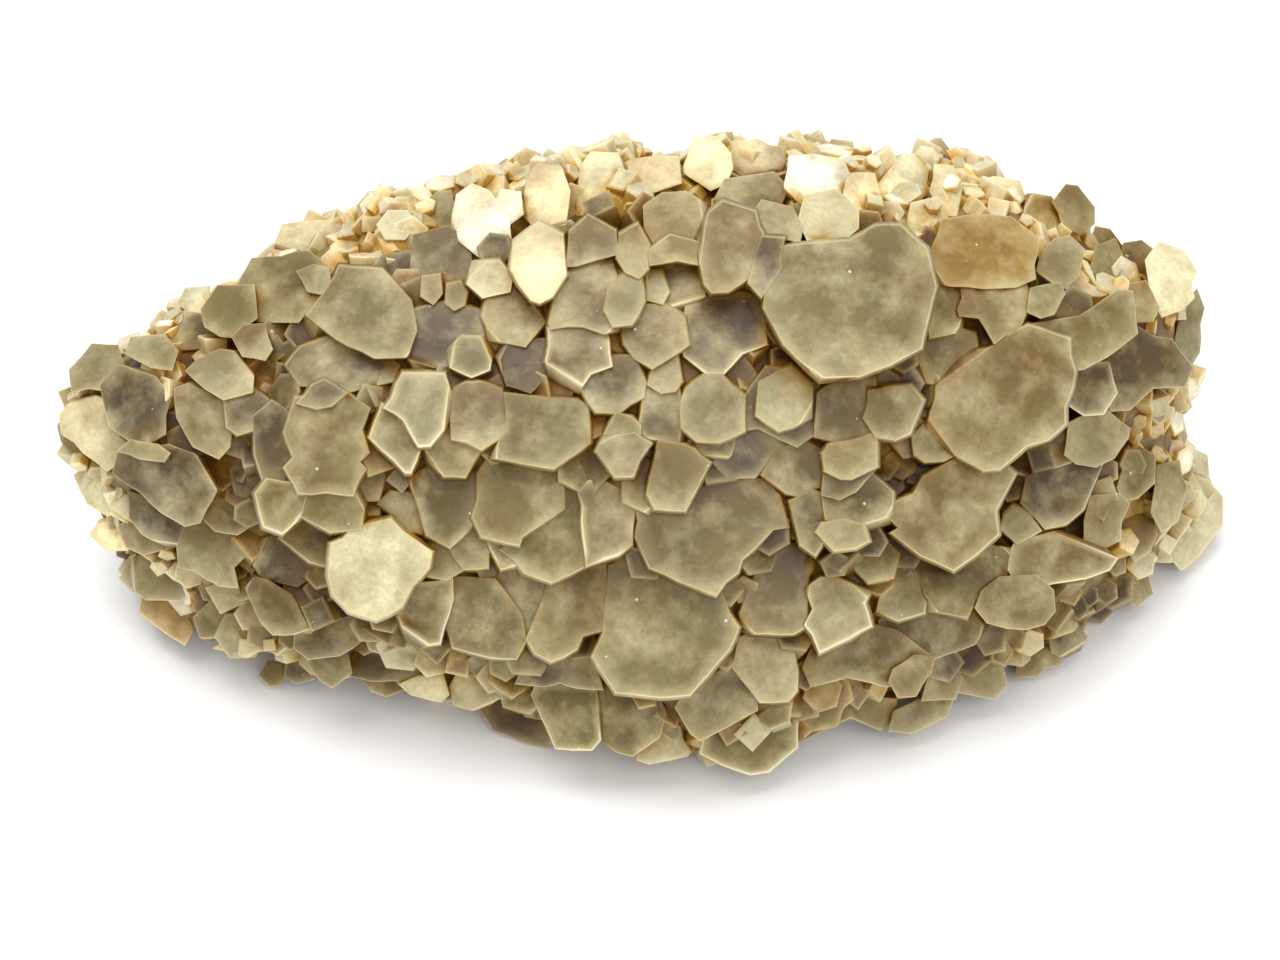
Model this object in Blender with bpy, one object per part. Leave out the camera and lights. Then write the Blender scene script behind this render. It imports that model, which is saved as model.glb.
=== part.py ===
"""A hand-sized calcite specimen: one intergrown cluster of flat-ended hexagonal crystals.

Its front is shingled with tabular crystals, which stand on one lumpy mass and overlap like
roof tiles. Its back, top, ends and underside are blocky crystals of the same mass, and it
rests on one flat spot. Crystals that grew together are one piece, so it is one solid.
"""

import math
import random

import bmesh
import bpy
from mathutils import Matrix, Vector
from mathutils.geometry import intersect_point_tri_2d

MM = 0.001

# Driving dimensions, in millimetres and degrees.
# The outlines below lie on a plane square to a line of sight that looks down on the front.
# u runs to the right on that plane, v runs up it, and w is the depth towards the eye.
SIGHT_ELEVATION = 38.0
EYE_DISTANCE = 400.0
TABLE_DROP = 32.9
BODY_SHIFT = (-1.69, -10.45)

# The mass: how far it bulges to the front and the back, how square its profile is, how much its
# hidden rim is rounded off, and how its underside is drawn up so that only a part meets the table.
FRONT_BULGE = 19.0
BACK_BULGE = 38.0
PROFILE_FULLNESS = 0.8
RIM_ROUNDING = 0.4
SETTLE_BELOW = 10.0
SETTLE_SHARE = 0.6

# The tabular crystals: how they lean back, how much they follow the slope of the mass, how far
# they stand out of it and over each other, and how their sides draw in towards the root.
PLATE_LEAN = 11.0
LEAN_PER_TONE = 7.0
FOLLOW_GROUND = 0.5
STEEPEST_GROUND = 0.7
SLOPE_REACH = 3.0
PLATE_RISE = 2.2
PLATE_STEP = 0.45
LARGEST_LIFT = 5.5
ROOT_DEPTH = 3.0
LEAST_THICKNESS = 3.5
ROOT_TAPER = 0.82
LEAST_CORNER = 2.0

# The blocky crystals of the hidden sides. Lengths are shares of a block's size, and the places run
# down from just in front of the rim to the middle of the back.
BLOCK_COUNT = 76
BLOCK_SIZE = (7.5, 11.0)
BLOCK_TOP = (0.6, 0.9)
BLOCK_LENGTH = (1.2, 1.7)
BLOCK_TILT = 0.4
BLOCK_SINK = 0.5
BLOCKS_START = 0.22
BLOCKS_SPAN = 1.2
TRACED_ABOVE = -0.05
CREST_BEYOND = 0.4
HEART = (0, 0, -8)
NEARBY_STEPS = ((0.05, 0, 0.01), (0, 0.05, 0.01), (0.01, 0.01, 0.05))

TABLE_SLAB = 0.4
WELD = 0.0001
SEED = 2713

# The calm shape of the mass under the crystals, as (u, v, depth of the rim) clockwise from the left end.
RIM = (
    (-72, 4, -8), (-70.5, 10, -9), (-65, 14, -10), (-57, 18.5, -11), (-50, 22.5, -12), (-42, 27, -12),
    (-33, 29.5, -12), (-22, 32, -12), (-12, 35, -12), (0, 36.5, -12), (10, 38, -12), (20, 37, -13),
    (32, 35.5, -14), (42, 33, -15), (52, 31, -17), (60, 25.5, -19), (68, 22.5, -21), (69.5, 14, -24),
    (68.5, 6, -26), (68, 0, -29), (72, -6, -34), (69.5, -12, -33), (61.5, -19, -24), (52, -25, -16),
    (42, -28.5, -11), (30, -32, -7), (21, -35, -3), (13, -38, 0), (4, -37, -1), (-8, -35.5, -3),
    (-20, -32, -8), (-32, -28.5, -12), (-44, -27, -14), (-56, -22.5, -17), (-62.5, -17, -18),
    (-66.5, -10, -14), (-69.5, -3, -10),
)

# The tabular crystals, from the deepest to the most forward.
# Each is (tone, turn, outline): tone is how far its flat end leans back to the light,
# turn is how far it faces to the right in degrees, and the outline is its flat end as (u, v) corners.
PLATES = (
    # The pale blocks along the crest.
    (0.6, -4, ((-47.8, 26.5), (-46.4, 29.8), (-42, 30.3), (-38.2, 30.3), (-38, 27), (-41, 25.2),
     (-44, 25.8))),
    (0.8, -2, ((-38.2, 27.4), (-37.8, 31), (-36.4, 32.7), (-33.8, 32.9), (-33.4, 29), (-34.2, 24.7),
     (-36.4, 24.6))),
    (0.4, 0, ((-34, 26.6), (-33.6, 30.8), (-30.8, 32), (-28.4, 31), (-28.6, 26), (-30.6, 23.2),
     (-33, 23.6))),
    (-0.1, 0, ((-30, 24), (-29.6, 28.4), (-25, 29.6), (-21.8, 27.6), (-22, 23.6), (-23, 21),
     (-27, 22.4))),
    (0.5, 0, ((-25, 28.6), (-24, 33.6), (-22, 35.1), (-19.8, 34.2), (-17, 31), (-16.8, 27.6),
     (-20.8, 25.2))),
    (0.5, 0, ((-15.6, 31), (-15, 36.2), (-13, 38), (-10.6, 38), (-9.2, 34), (-9.8, 29.6),
     (-13.6, 28.8))),
    (0.5, 0, ((-8.7, 31), (-9, 36), (-6.6, 39.2), (-3, 39), (-1.4, 34.6), (-2.6, 30.2), (-4.6, 29.2),
     (-8, 30.4))),
    (0.6, 0, ((-2.4, 31.6), (-1.8, 38), (1.4, 38.6), (4.8, 38.6), (5.2, 35), (1, 33.6), (0, 30.6))),
    (0.6, 0, ((5, 36.6), (6.6, 41), (9.4, 41.2), (11.5, 39), (11.8, 37), (10.9, 34.9), (8.8, 34),
     (6, 35.8))),
    (0.5, 2, ((11.2, 37), (11.6, 40.4), (15, 40.8), (18.4, 39.8), (18.6, 38), (18, 36.3), (13.6, 35.4))),
    (-0.2, 2, ((9, 32.6), (10.6, 35.6), (17, 36.6), (19, 34.6), (18, 32.2), (13.4, 31.8))),
    (0.6, 2, ((18.2, 33.2), (18.8, 38.6), (22, 38.9), (26, 38.2), (27.4, 34.8), (24.6, 33), (20.6, 32))),
    (0.3, 4, ((25.6, 32.6), (26.4, 36.6), (30, 36.4), (31.6, 31.4), (28.6, 29.6))),
    (0.5, 4, ((30, 33.8), (31.2, 37.6), (32.6, 39), (35, 38.9), (37, 36.8), (36.8, 33.6), (34, 31.6),
     (31.4, 31.8))),
    (0.6, 6, ((37, 34), (37.6, 37.6), (40.2, 37.4), (41.4, 34.6), (40.6, 30.6), (38.4, 31))),
    (0.5, 8, ((41, 31.6), (41.6, 35), (45.4, 36), (48.8, 35.4), (50, 31.6), (46, 30))),
    (0.3, 8, ((49, 29.6), (49.4, 34), (52.8, 33.4), (54.6, 30.6), (54, 28.4), (51, 28.2))),
    (0.3, 10, ((52.8, 32.6), (54.6, 35), (56.2, 34.8), (58.4, 32), (58.4, 29.8), (56.4, 28.4),
     (54, 29.6))),
    (0.0, 20, ((68.4, 13.4), (69.6, 19.4), (71.6, 21.6), (72.6, 19), (72, 13.2), (70.6, 11))),
    (0.5, 22, ((66.8, -12), (68, -5.4), (70.2, -1.6), (73, -3), (75, -5.4), (75, -9), (72, -13),
     (69.6, -15))),
    # Foot of the front, left to right.
    (-0.4, 0, ((-58, -21), (-57, -24), (-52.5, -24), (-50, -21.5), (-51, -18.5), (-55, -18))),
    (0.2, -8, ((-55.5, -25), (-53, -23.5), (-50, -24), (-47.5, -23.7), (-47.2, -25.2), (-51, -26.3))),
    (-0.3, 4, ((-45, -25), (-45, -20), (-41, -18), (-37, -20), (-36, -24), (-39, -26), (-43, -26.5))),
    (0.0, 0, ((-38, -28.5), (-37.5, -25.5), (-31, -24.3), (-25, -24.5), (-24.3, -27.2), (-27, -29),
     (-35, -29.3))),
    (0.4, 6, ((-31.5, -29.6), (-29, -28.4), (-25.6, -28.2), (-24.8, -31), (-26, -32), (-30, -31))),
    (-0.1, 6, ((-20.8, -33), (-17, -30.5), (-13, -30), (-11.5, -36), (-12, -38), (-15.6, -37.1),
     (-19.3, -35.6))),
    (0.7, -4, ((-25, -30), (-23.5, -27.4), (-20, -26.5), (-17.4, -27.4), (-16.8, -30.5), (-19.5, -32.4),
     (-21.5, -33.2), (-24.3, -32.4))),
    (-0.1, 0, ((-6, -30), (-3, -28), (2, -29), (3.4, -32.8), (2.3, -36.5), (-1.2, -39), (-3.4, -38.4),
     (-5.4, -36.8))),
    (0.2, -5, ((-14.4, -31), (-13.8, -29.6), (-6, -29.8), (-4.8, -33), (-5, -36.6), (-6.4, -38.2),
     (-11.2, -38), (-12.3, -35.5))),
    (0.8, 3, ((-0.8, -39.4), (0, -36.5), (2.4, -35), (5, -36), (6.4, -38.2), (6, -38.9), (1, -40))),
    (0.0, 5, ((22, -29.8), (25.5, -29.2), (28.7, -29.4), (30.5, -31.2), (33, -31.4), (32.8, -34),
     (30.8, -35.6), (27, -34), (24.6, -35), (20.4, -37.2), (19.8, -33))),
    (0.4, 8, ((31.8, -35.7), (32.4, -33), (35, -31.8), (38, -29.8), (40.4, -31.2), (39.4, -33.8),
     (35, -36))),
    (0.1, 8, ((36, -31.8), (37, -27.8), (40, -26.5), (41.5, -28.5), (40.5, -31.6))),
    (0.1, -6, ((7.4, -38.6), (8, -36), (11, -33), (18.6, -31.9), (20.3, -33.3), (20.2, -37.8),
     (16.5, -41), (14, -41.4), (10.5, -40.2))),
    (0.0, 4, ((40.2, -30.6), (40.6, -28), (43.6, -26), (45.3, -27.6), (46.6, -26.2), (47.2, -29.8),
     (45.5, -31.5))),
    (-0.3, 6, ((30.4, -21.4), (34, -18), (42, -18.5), (45, -22), (43, -24.5), (37.5, -26.5), (32, -26))),
    (0.0, 4, ((22.4, -23.5), (27, -21), (33, -22.5), (37.3, -25.8), (36, -29), (31.5, -30), (26.5, -28.8),
     (21.8, -30), (20.6, -27.5))),
    (0.3, 4, ((31.8, -29.3), (32.3, -27.6), (35.2, -25.7), (37.8, -26), (37.4, -28), (35.4, -31.2),
     (33, -31.3))),
    (0.2, 10, ((48, -28.8), (48.5, -25.5), (53, -24.6), (54.4, -27), (51, -28.6))),
    (0.3, 14, ((57.4, -24.4), (58, -22), (61, -20.6), (64.3, -19.4), (61, -22.3))),
    (-0.1, 4, ((5.2, -30.8), (8, -29), (12.3, -26), (15.3, -30), (15, -33), (11, -35.2), (7.6, -37),
     (6.2, -36), (4.2, -32.6))),
    # Lower front.
    (-0.5, 0, ((-16.4, -29.6), (-14.6, -24.6), (-8, -24.6), (-6, -27), (-4.9, -30.4), (-12.6, -30))),
    (0.1, -3, ((11.6, -27.4), (12.3, -23.6), (14, -22.7), (18, -23.2), (19.4, -24.1), (20.2, -28),
     (20.1, -30.4), (19, -31.8), (15.2, -32))),
    (0.0, 0, ((12.5, -20.4), (13, -22.4), (14.2, -23.1), (19.6, -23.1), (21.5, -22), (21.4, -17),
     (22.6, -14), (20, -11.2), (16.6, -12), (14.8, -14.6))),
    (-0.5, 2, ((-18.9, -16.2), (-18, -13.8), (-15, -14.8), (-11.8, -15.5), (-12.2, -21), (-14.6, -25),
     (-16, -20))),
    (0.3, 4, ((21, -17.2), (23, -15.7), (25.2, -15.7), (29.5, -17.7), (28.8, -19.1), (29.7, -22.1),
     (27, -23.6), (22.9, -25.6), (22, -23.3), (20.9, -21.9), (22, -19.9))),
    (-0.2, 5, ((-25.4, -22), (-24.2, -15.7), (-18.9, -15.9), (-15.4, -20.6), (-14.9, -24), (-16.2, -26.4),
     (-19.6, -26.2), (-24.4, -24.9))),
    (0.0, 2, ((-14.9, -23.8), (-13, -19), (-11.8, -15.2), (-4.6, -12.6), (-4.2, -22.6), (-7.6, -23.4),
     (-8.3, -25), (-11.7, -26.7), (-13.8, -25.6))),
    (0.2, 0, ((-6.4, -26), (-5, -23), (-4.4, -14.2), (1, -12.6), (9.8, -16.8), (12.5, -22.2),
     (11.2, -25.2), (6.2, -31), (2.5, -31.3), (-3.3, -30.7))),
    (0.0, 3, ((-31.6, -20.6), (-30.6, -16.6), (-24.4, -15.8), (-24.3, -18.6), (-26, -24.4),
     (-28.6, -24.8), (-30.3, -23.6))),
    (-0.3, 8, ((30.2, -20.2), (30.4, -17), (31.1, -14.9), (35.2, -14.3), (37, -17.8), (36.4, -20.4),
     (33, -21.4))),
    (-0.2, 6, ((35, -13), (37, -11), (44, -11.5), (47.6, -12), (47, -15.6), (43.4, -18), (42, -21),
     (37, -20))),
    (0.2, 8, ((42.8, -19.6), (43.4, -17.7), (46.2, -15.6), (51, -15.4), (53.2, -17.4), (53.4, -20.2),
     (52, -21.9), (49.6, -22.6), (47, -22.4), (44.5, -21.7))),
    (0.2, 10, ((46.8, -14), (48, -11.2), (54.4, -9.4), (60, -11.9), (61.6, -13.2), (60.4, -14.9),
     (57.4, -16), (53.4, -16.6), (48.6, -17.6))),
    # Left end.
    (0.3, -14, ((-65, -20.4), (-64.6, -18.4), (-60, -18.6), (-57.8, -22.6), (-59, -24.7),
     (-61.4, -23.2))),
    (0.3, -12, ((-66.3, -17), (-66.2, -13.4), (-63, -12), (-59.4, -13.4), (-57.8, -16.8), (-59.4, -18.9),
     (-64, -18.8))),
    (0.2, -12, ((-67.7, -9.2), (-66.2, -8), (-63, -9.4), (-60.4, -12), (-64.5, -13), (-66.6, -12))),
    (0.5, -14, ((-72.6, -4.4), (-71.8, -1.8), (-69, -1.8), (-66.8, -4.4), (-66.6, -7), (-69, -8),
     (-71.6, -6.4))),
    (-0.3, -6, ((-66.2, -8.2), (-66.4, -4.6), (-61, -6), (-58.6, -9), (-59.8, -12.2), (-61.6, -12),
     (-64.6, -10.3))),
    (0.5, -12, ((-75.3, 5.2), (-73.6, 7.2), (-69.6, 8), (-66.4, 4), (-66.6, -0.6), (-69, -2.2),
     (-72.2, 0.2), (-75, 2.6))),
    (-0.3, -10, ((-70, 9), (-68, 11.6), (-63.6, 11.4), (-60.6, 7.4), (-61.4, 2.6), (-64.8, 0.6),
     (-68.8, 3.6))),
    (0.1, -12, ((-74, 11), (-71, 14.4), (-67.6, 14.2), (-66.4, 11), (-69.4, 8.2), (-73.6, 8))),
    (-0.3, 2, ((-50.2, -14.2), (-49.6, -11), (-46, -9.8), (-42, -12.6), (-41.4, -15), (-44.6, -17),
     (-49, -16))),
    (-0.1, 3, ((-51.4, -17), (-50, -15.7), (-48.4, -16), (-45.2, -18), (-43.6, -21), (-42.4, -23.2),
     (-47.7, -23.3), (-49.2, -21.8))),
    (0.0, 2, ((-46.8, -10.8), (-44.4, -8.4), (-39.8, -8.6), (-37.6, -12), (-40, -14.6), (-43, -13.8))),
    (0.3, -4, ((-60.1, -12), (-59, -8.4), (-53.6, -8.4), (-50.5, -12.5), (-52.6, -14.6), (-52, -17.3),
     (-54.6, -17), (-58, -15), (-59.9, -14.6))),
    (-0.2, 4, ((-56.8, -8.2), (-55.4, -4.4), (-53.2, -4.6), (-51.8, -7), (-50.6, -9.4), (-52.2, -10.4),
     (-55.2, -9.9))),
    (-0.1, -4, ((-68.4, -2.4), (-67.6, 0.8), (-61, 1.4), (-56.2, -0.4), (-54.6, -4.2), (-57, -8.8),
     (-59, -9.3), (-62, -7.6))),
    (0.4, -4, ((-68, 0.4), (-66, 2), (-62.4, 1.4), (-60.8, 0.2), (-61.6, -1), (-65, -0.6))),
    (0.3, -8, ((-66.8, 13), (-66, 15.2), (-61.6, 15.6), (-59.8, 13.4), (-60.6, 10.8), (-63.4, 11.2))),
    (-0.1, 0, ((-60.4, 8.6), (-57.6, 9.6), (-53.4, 7.4), (-52.8, 4), (-53.1, 1), (-54.6, -0.6), (-58, 1),
     (-60.1, 4.8))),
    (0.0, 4, ((-54, 7.4), (-50.2, 8.6), (-47.8, 6.8), (-48.2, 5), (-50, 4.6), (-50.2, 3), (-52.2, 2.5),
     (-53.6, 3.6))),
    (0.2, 0, ((-59, 10.8), (-57.4, 12.4), (-54.4, 13.7), (-52, 13.4), (-50, 10.4), (-50.2, 8), (-54, 7),
     (-56.5, 8.5))),
    # Middle of the front, left to right.
    (-0.2, 0, ((-50.2, 5), (-47.8, 7), (-44.8, 5), (-44.8, -0.6), (-46, -4), (-48.6, -4.4), (-50, 0))),
    (0.2, 0, ((-50, -5), (-48.5, -3), (-44.2, -3.6), (-42.6, -5.4), (-43.5, -8), (-46.4, -10.3),
     (-48.9, -9.3))),
    (-0.1, 0, ((-44, -8), (-43.2, -4), (-37, -4), (-35.8, -6.4), (-36.2, -9.6), (-40.2, -10))),
    (-0.3, 4, ((-34.2, -6.4), (-32.4, -4.6), (-29.8, -4.8), (-27.8, -8), (-28, -10.4), (-31, -10))),
    (-0.5, 0, ((-25.2, -11.8), (-24, -9), (-21, -8.6), (-19.6, -11), (-19.8, -14.6), (-23, -14.8))),
    (-0.1, 0, ((-20.6, -10.4), (-18, -8), (-14.4, -10), (-15, -14), (-18.2, -14.8))),
    (-0.2, 2, ((-30.2, -3.2), (-27.8, -1.4), (-22, -1.4), (-20.6, -5), (-21.8, -9.2), (-24.8, -12),
     (-27.9, -10.4), (-28.6, -7.4))),
    (0.9, 3, ((-40.5, -15.6), (-40.2, -11.4), (-37.6, -9.3), (-32.4, -8.1), (-30.8, -9.8), (-27, -12.5),
     (-27.4, -14.6), (-29.6, -17), (-31, -19.6), (-34.2, -21.3), (-37.8, -20.2), (-39.9, -18))),
    (0.0, -6, ((-18.4, -12.2), (-15.4, -10), (-9.6, -4), (-5.8, -4.6), (-6, -9), (-7.2, -14.4),
     (-11.6, -16.5), (-15.2, -15.2))),
    (-0.1, 8, ((-8.4, -4.6), (-7, -3.2), (-5.8, -2.7), (-2.2, -4.6), (-0.8, -7), (-1.2, -11.6), (-3, -13),
     (-7.2, -14.4))),
    (-0.1, 0, ((-0.9, -10.6), (-1, -6.4), (5.8, -5.4), (8.8, -1.2), (11.3, -2.9), (15.6, -3), (17.8, -5),
     (19, -9.4), (16.8, -9.7), (14.2, -12.4), (12.4, -15.2), (9.6, -18.2), (5, -16.4), (1, -14.6))),
    (-0.7, 0, ((9, -1), (11, 2.6), (15, 5), (18, 3), (18.9, 1.2), (16.6, -1), (14.6, -2.9), (11, -3.1))),
    (-0.6, 4, ((15.4, -2.6), (17.4, 0.6), (21, 2), (24, 0.4), (24.2, -4), (20.6, -5.6), (18.6, -5))),
    (-0.5, 3, ((19, -6), (22, -4.4), (25.4, -6), (25, -9), (22.4, -13), (20.4, -11.6))),
    (-0.3, 4, ((23.2, -5.2), (26, -4), (29.6, -2.4), (32.4, -4.8), (32.2, -8.6), (28, -9.6),
     (23.6, -8.4))),
    (0.1, 0, ((22.4, -10), (23.2, -8.7), (26.2, -8.2), (28.6, -9), (29.3, -11.1), (27.6, -12),
     (24.8, -12.4))),
    (-0.3, 4, ((23.4, -2.4), (27, -2), (29.8, -2.2), (27.6, -4.7), (25.5, -5.8), (23.2, -5.2))),
    (0.1, 6, ((30.6, -6.7), (35, -4.9), (36.2, -2.8), (41, 0), (45, 0.4), (48.2, -2.4), (45.6, -7.2),
     (46, -10.2), (43.2, -12.8), (40.2, -14.9), (36, -13), (32, -10), (33, -9.4))),
    (-0.2, 14, ((57, -8.4), (57.8, -5.2), (61.6, -4.8), (63, -6.2), (61.9, -8.8), (61.8, -11), (60, -12),
     (57, -11))),
    (0.0, 8, ((48.8, -6.2), (49.5, -2.8), (52, -1.4), (56, -0.4), (59.4, -1.3), (58.2, -4), (57, -7),
     (54.8, -9), (52, -9.6))),
    (0.2, 10, ((54.4, 0), (54.9, 4.2), (57, 5.3), (60, 6), (61.5, 4.6), (63, 3.5), (62.8, 2.2),
     (61, -0.4), (58.6, -1.6), (56, -1.2))),
    (-0.1, 16, ((61.2, -4.2), (62.2, -1), (64.2, 1.2), (66.3, 0), (66.2, -3.6), (64, -5.6), (62, -6))),
    (0.3, 18, ((65.6, -7.4), (66.4, -1.2), (69.4, -0.6), (70.4, -4), (69.2, -8.6), (67, -10))),
    # The belt of plates above the middle.
    (-0.2, 0, ((-46, 11.6), (-44, 14), (-39.6, 15.6), (-33, 13), (-31.2, 11.6), (-32, 9.4), (-38, 8),
     (-44.2, 8.8))),
    (0.3, 0, ((-46.2, 2.8), (-44.8, 7.4), (-38, 8), (-35, 6), (-36, 3.2), (-35.2, 0.3), (-37, -1.1),
     (-35.6, -1.8), (-37.3, -5.3), (-44.3, -5), (-46.2, -1.6), (-45, -0.3))),
    (-0.3, 0, ((-44.6, 6.6), (-42.6, 9), (-41, 9.7), (-38, 8), (-40, 6.3), (-42, 5.9))),
    (0.0, 0, ((-35.3, 2.2), (-33.6, 6.6), (-29.4, 6.4), (-27.6, 2.4), (-29.8, -2.4), (-30.6, -2.4))),
    (0.2, 4, ((-28.2, 0.8), (-26, 4), (-21.5, 2.6), (-20.8, 0.4), (-22.8, -2.9), (-25.8, -2.8),
     (-27.4, -1))),
    (0.0, 0, ((-25, 6.4), (-24.3, 8.6), (-22, 9.8), (-18, 8.6), (-17.2, 2.8), (-20.7, 0.6), (-24.6, 2))),
    (0.5, -2, ((-33.4, 6), (-30.9, 10.7), (-25.4, 10.6), (-24.3, 7.2), (-25.3, 3.6), (-27.3, 1.1),
     (-28.9, 1), (-30.8, 4.4))),
    (0.4, 0, ((-21.4, -2.4), (-19, 1.4), (-11, 0.8), (-10, -4), (-10, -7), (-15.4, -10.5), (-15.8, -11.7),
     (-20.7, -10.6), (-21.9, -8), (-21.2, -5.8))),
    (0.1, 0, ((-19.4, -0.4), (-17.4, 4), (-17.8, 8), (-12, 7.4), (-8.3, 7.4), (-6.9, 6.4), (-6.5, 1.5),
     (-11.4, -1.8))),
    (-0.4, 2, ((0.2, 9), (4.8, 9.6), (5.6, 3), (5.4, 1), (1.2, 1.2), (-0.6, 3.4))),
    (-0.4, 0, ((-8, 8.4), (-5, 12.8), (-1, 12.8), (0.6, 9.4), (0.3, 7.4), (-3, 5.2), (-6, 5.4))),
    (0.1, -4, ((-2.6, -2.6), (-2.5, -6.1), (0.8, -7.7), (2.4, -6.6), (2.4, -1.6), (-0.4, 0))),
    (0.1, 2, ((0.6, -5), (1.6, -7), (5.6, -7.2), (8.8, -1), (6.6, 1.4), (2, 1.8))),
    (0.3, 0, ((-5.9, 0.4), (-4.7, 2.9), (-1, 2.9), (1.2, 1.4), (-1.1, -2.8), (-3.5, -2.9),
     (-4.3, -1.8))),
    (-0.5, 2, ((12.8, 3), (13.2, 7.6), (16, 11.4), (21, 11), (24, 8), (24, 3), (20, 1), (15, 3.4))),
    (-0.2, 2, ((22.2, 2.4), (22.6, 8.4), (25.6, 10.2), (30, 10.2), (31, 4), (27.6, 0.6))),
    (0.2, 2, ((23.2, 0.2), (24, 1.4), (27.2, 2), (30.3, 3.2), (30.3, -1.5), (27, -3.1), (25.6, -3.1),
     (23.5, -2.1))),
    (0.1, 0, ((28.5, 4.8), (29.1, 8.7), (34.6, 9.1), (36.3, 7), (34.6, 2.8), (32.6, 1.9), (30.1, 2.3))),
    (0.0, 0, ((34.7, 2.5), (35, 0), (36.4, -1), (39, -0.8), (42, 0.4), (40, 3.6), (36.6, 4.4))),
    (-0.1, 2, ((35.2, 13), (36.8, 15.7), (39.2, 17), (43, 15.8), (43.6, 12), (40, 9), (36.6, 9.2))),
    (-0.3, 8, ((54.6, 6.6), (55.4, 12.4), (60, 13), (61.4, 8), (59.6, 5.2), (57, 5))),
    (-0.2, 12, ((59.5, 8), (60, 13), (64, 16.6), (68.4, 15), (71.2, 11.2), (70, 8.8), (66, 8.6),
     (63, 5.8), (60.4, 5.6))),
    (0.1, 0, ((36.8, 4), (37.2, 2.8), (40, 0.2), (44, -2), (46.2, -1.8), (49.6, 1.2), (52.4, 2),
     (54.6, 4), (55.9, 10.8), (55.2, 15), (49.6, 16.8), (41.4, 12.6), (37.8, 9))),
    (0.2, 6, ((47.4, 14.6), (50, 17), (56.4, 18), (61.3, 21.4), (63.3, 21.2), (64, 15.7), (60, 12.6),
     (57, 11), (55.6, 10.9), (51, 13))),
    (-0.2, 0, ((-18.8, 12.6), (-17.6, 14.6), (-12.4, 15), (-12, 10.4), (-14.4, 8), (-17.4, 9))),
    (-0.1, 0, ((-12.5, 12), (-12.2, 16.4), (-8.6, 18), (-4.4, 16.4), (-3.8, 11.4), (-6.6, 10.4),
     (-8.1, 8.2), (-11.8, 10.3))),
    (-0.2, 2, ((4.9, 15), (5.6, 20.2), (7.6, 21.6), (14.8, 20.8), (16, 18), (16.2, 14.2), (13, 13),
     (10.4, 10.2), (8.4, 10.3), (5.3, 12.7))),
    (0.1, 0, ((4.9, 6.8), (5.6, 8.6), (8, 10.4), (10.3, 10.4), (13.3, 7.7), (13.2, 3), (10, 1.6),
     (7, 1.7), (5, 3.4))),
    (0.6, 0, ((14.6, 5), (15, 9.4), (19.3, 11.7), (22, 9.2), (21.8, 4.8), (19.6, 3.6), (17.6, 3))),
    # Upper belt.
    (0.0, -6, ((-57, 18.8), (-56.5, 16.5), (-54.5, 15.2), (-52.6, 15), (-49.6, 17.6), (-50, 22),
     (-54.8, 21.9))),
    (0.1, -4, ((-52.4, 21.7), (-50.4, 17.1), (-44.3, 17), (-41.4, 20.6), (-40, 24), (-43, 26.4),
     (-50.4, 25.4))),
    (-0.3, 2, ((-30.6, 13), (-30, 18.6), (-24.8, 20), (-20.2, 18.6), (-19.6, 14), (-24.8, 11.4),
     (-29.2, 11))),
    (-0.1, 0, ((-43.4, 18), (-42, 16.8), (-39.5, 14.9), (-34.6, 12.4), (-30.2, 12.5), (-29, 16),
     (-29.8, 20), (-33.5, 24), (-39, 24.4), (-41, 21))),
    (0.2, 0, ((-20.7, 18), (-19.7, 14.9), (-15, 13.9), (-12.4, 17), (-11.7, 19), (-13, 21.4),
     (-19.6, 22))),
    (-0.1, 0, ((-12, 17), (-11.4, 20.6), (-9.4, 24.6), (-4, 25.6), (-2.6, 21), (-3, 16), (-5, 15.6),
     (-7.6, 16.5), (-11.7, 16.2))),
    (-0.6, 0, ((-0.4, 20), (0.6, 25.2), (4, 26.4), (8.2, 24.2), (8.2, 20.4), (4.4, 18.4))),
    (0.1, 0, ((-2.7, 16), (-1, 19.4), (3, 19.6), (5.5, 17.9), (6.1, 14.2), (1.3, 11.1), (-1, 12.4),
     (-2.4, 14.3))),
    (0.5, 0, ((-4.9, 18.6), (-4.3, 22.6), (-2.8, 24), (0, 23), (0.3, 19.8), (-0.6, 17.8), (-1.3, 16.8),
     (-3.8, 16.5))),
    (-0.3, 2, ((-3.4, 25.4), (-3, 28.4), (-0.6, 29.8), (1, 27), (0.9, 24), (-0.4, 22.7), (-2.2, 23.5))),
    (0.2, -2, ((-9.9, 24.2), (-9.4, 28.8), (-7, 31), (-3.4, 29), (-2.4, 26), (-5.9, 25.1),
     (-8.4, 24.3))),
    (0.5, 0, ((-17, 24), (-16.6, 27.4), (-13.4, 30), (-10.2, 28.4), (-9.7, 23.2), (-11.6, 20.3),
     (-13.2, 19.5), (-14.4, 19.9), (-16, 22))),
    (-0.2, 2, ((1, 24.4), (0.8, 26.4), (3.6, 28.4), (8, 27.4), (8.4, 24.2), (4.6, 25))),
    (0.0, 0, ((0.2, 29.2), (0.1, 32.2), (2.6, 33.9), (5.6, 34.1), (8.4, 32.4), (8.8, 29.6), (7.1, 26.5),
     (1.8, 26.2))),
    (0.2, 2, ((6.9, 27.2), (8, 22), (9, 20.9), (11.2, 21), (13.8, 22.7), (15.7, 25.6), (15.9, 28),
     (14.6, 31.4), (10.4, 32.8), (8.6, 31.2))),
    (-0.3, 4, ((13.6, 22.2), (15.4, 20.2), (18, 24), (18.4, 28), (15.4, 28.2))),
    (0.3, 2, ((14.2, 31.4), (15.4, 33), (19.4, 32), (20.8, 29.4), (20.4, 27.3), (15.4, 28.1))),
    (0.5, 4, ((20, 30), (21, 33.6), (25, 34.4), (28, 31.6), (28, 29.2), (25, 26.8), (21.6, 26.9))),
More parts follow.
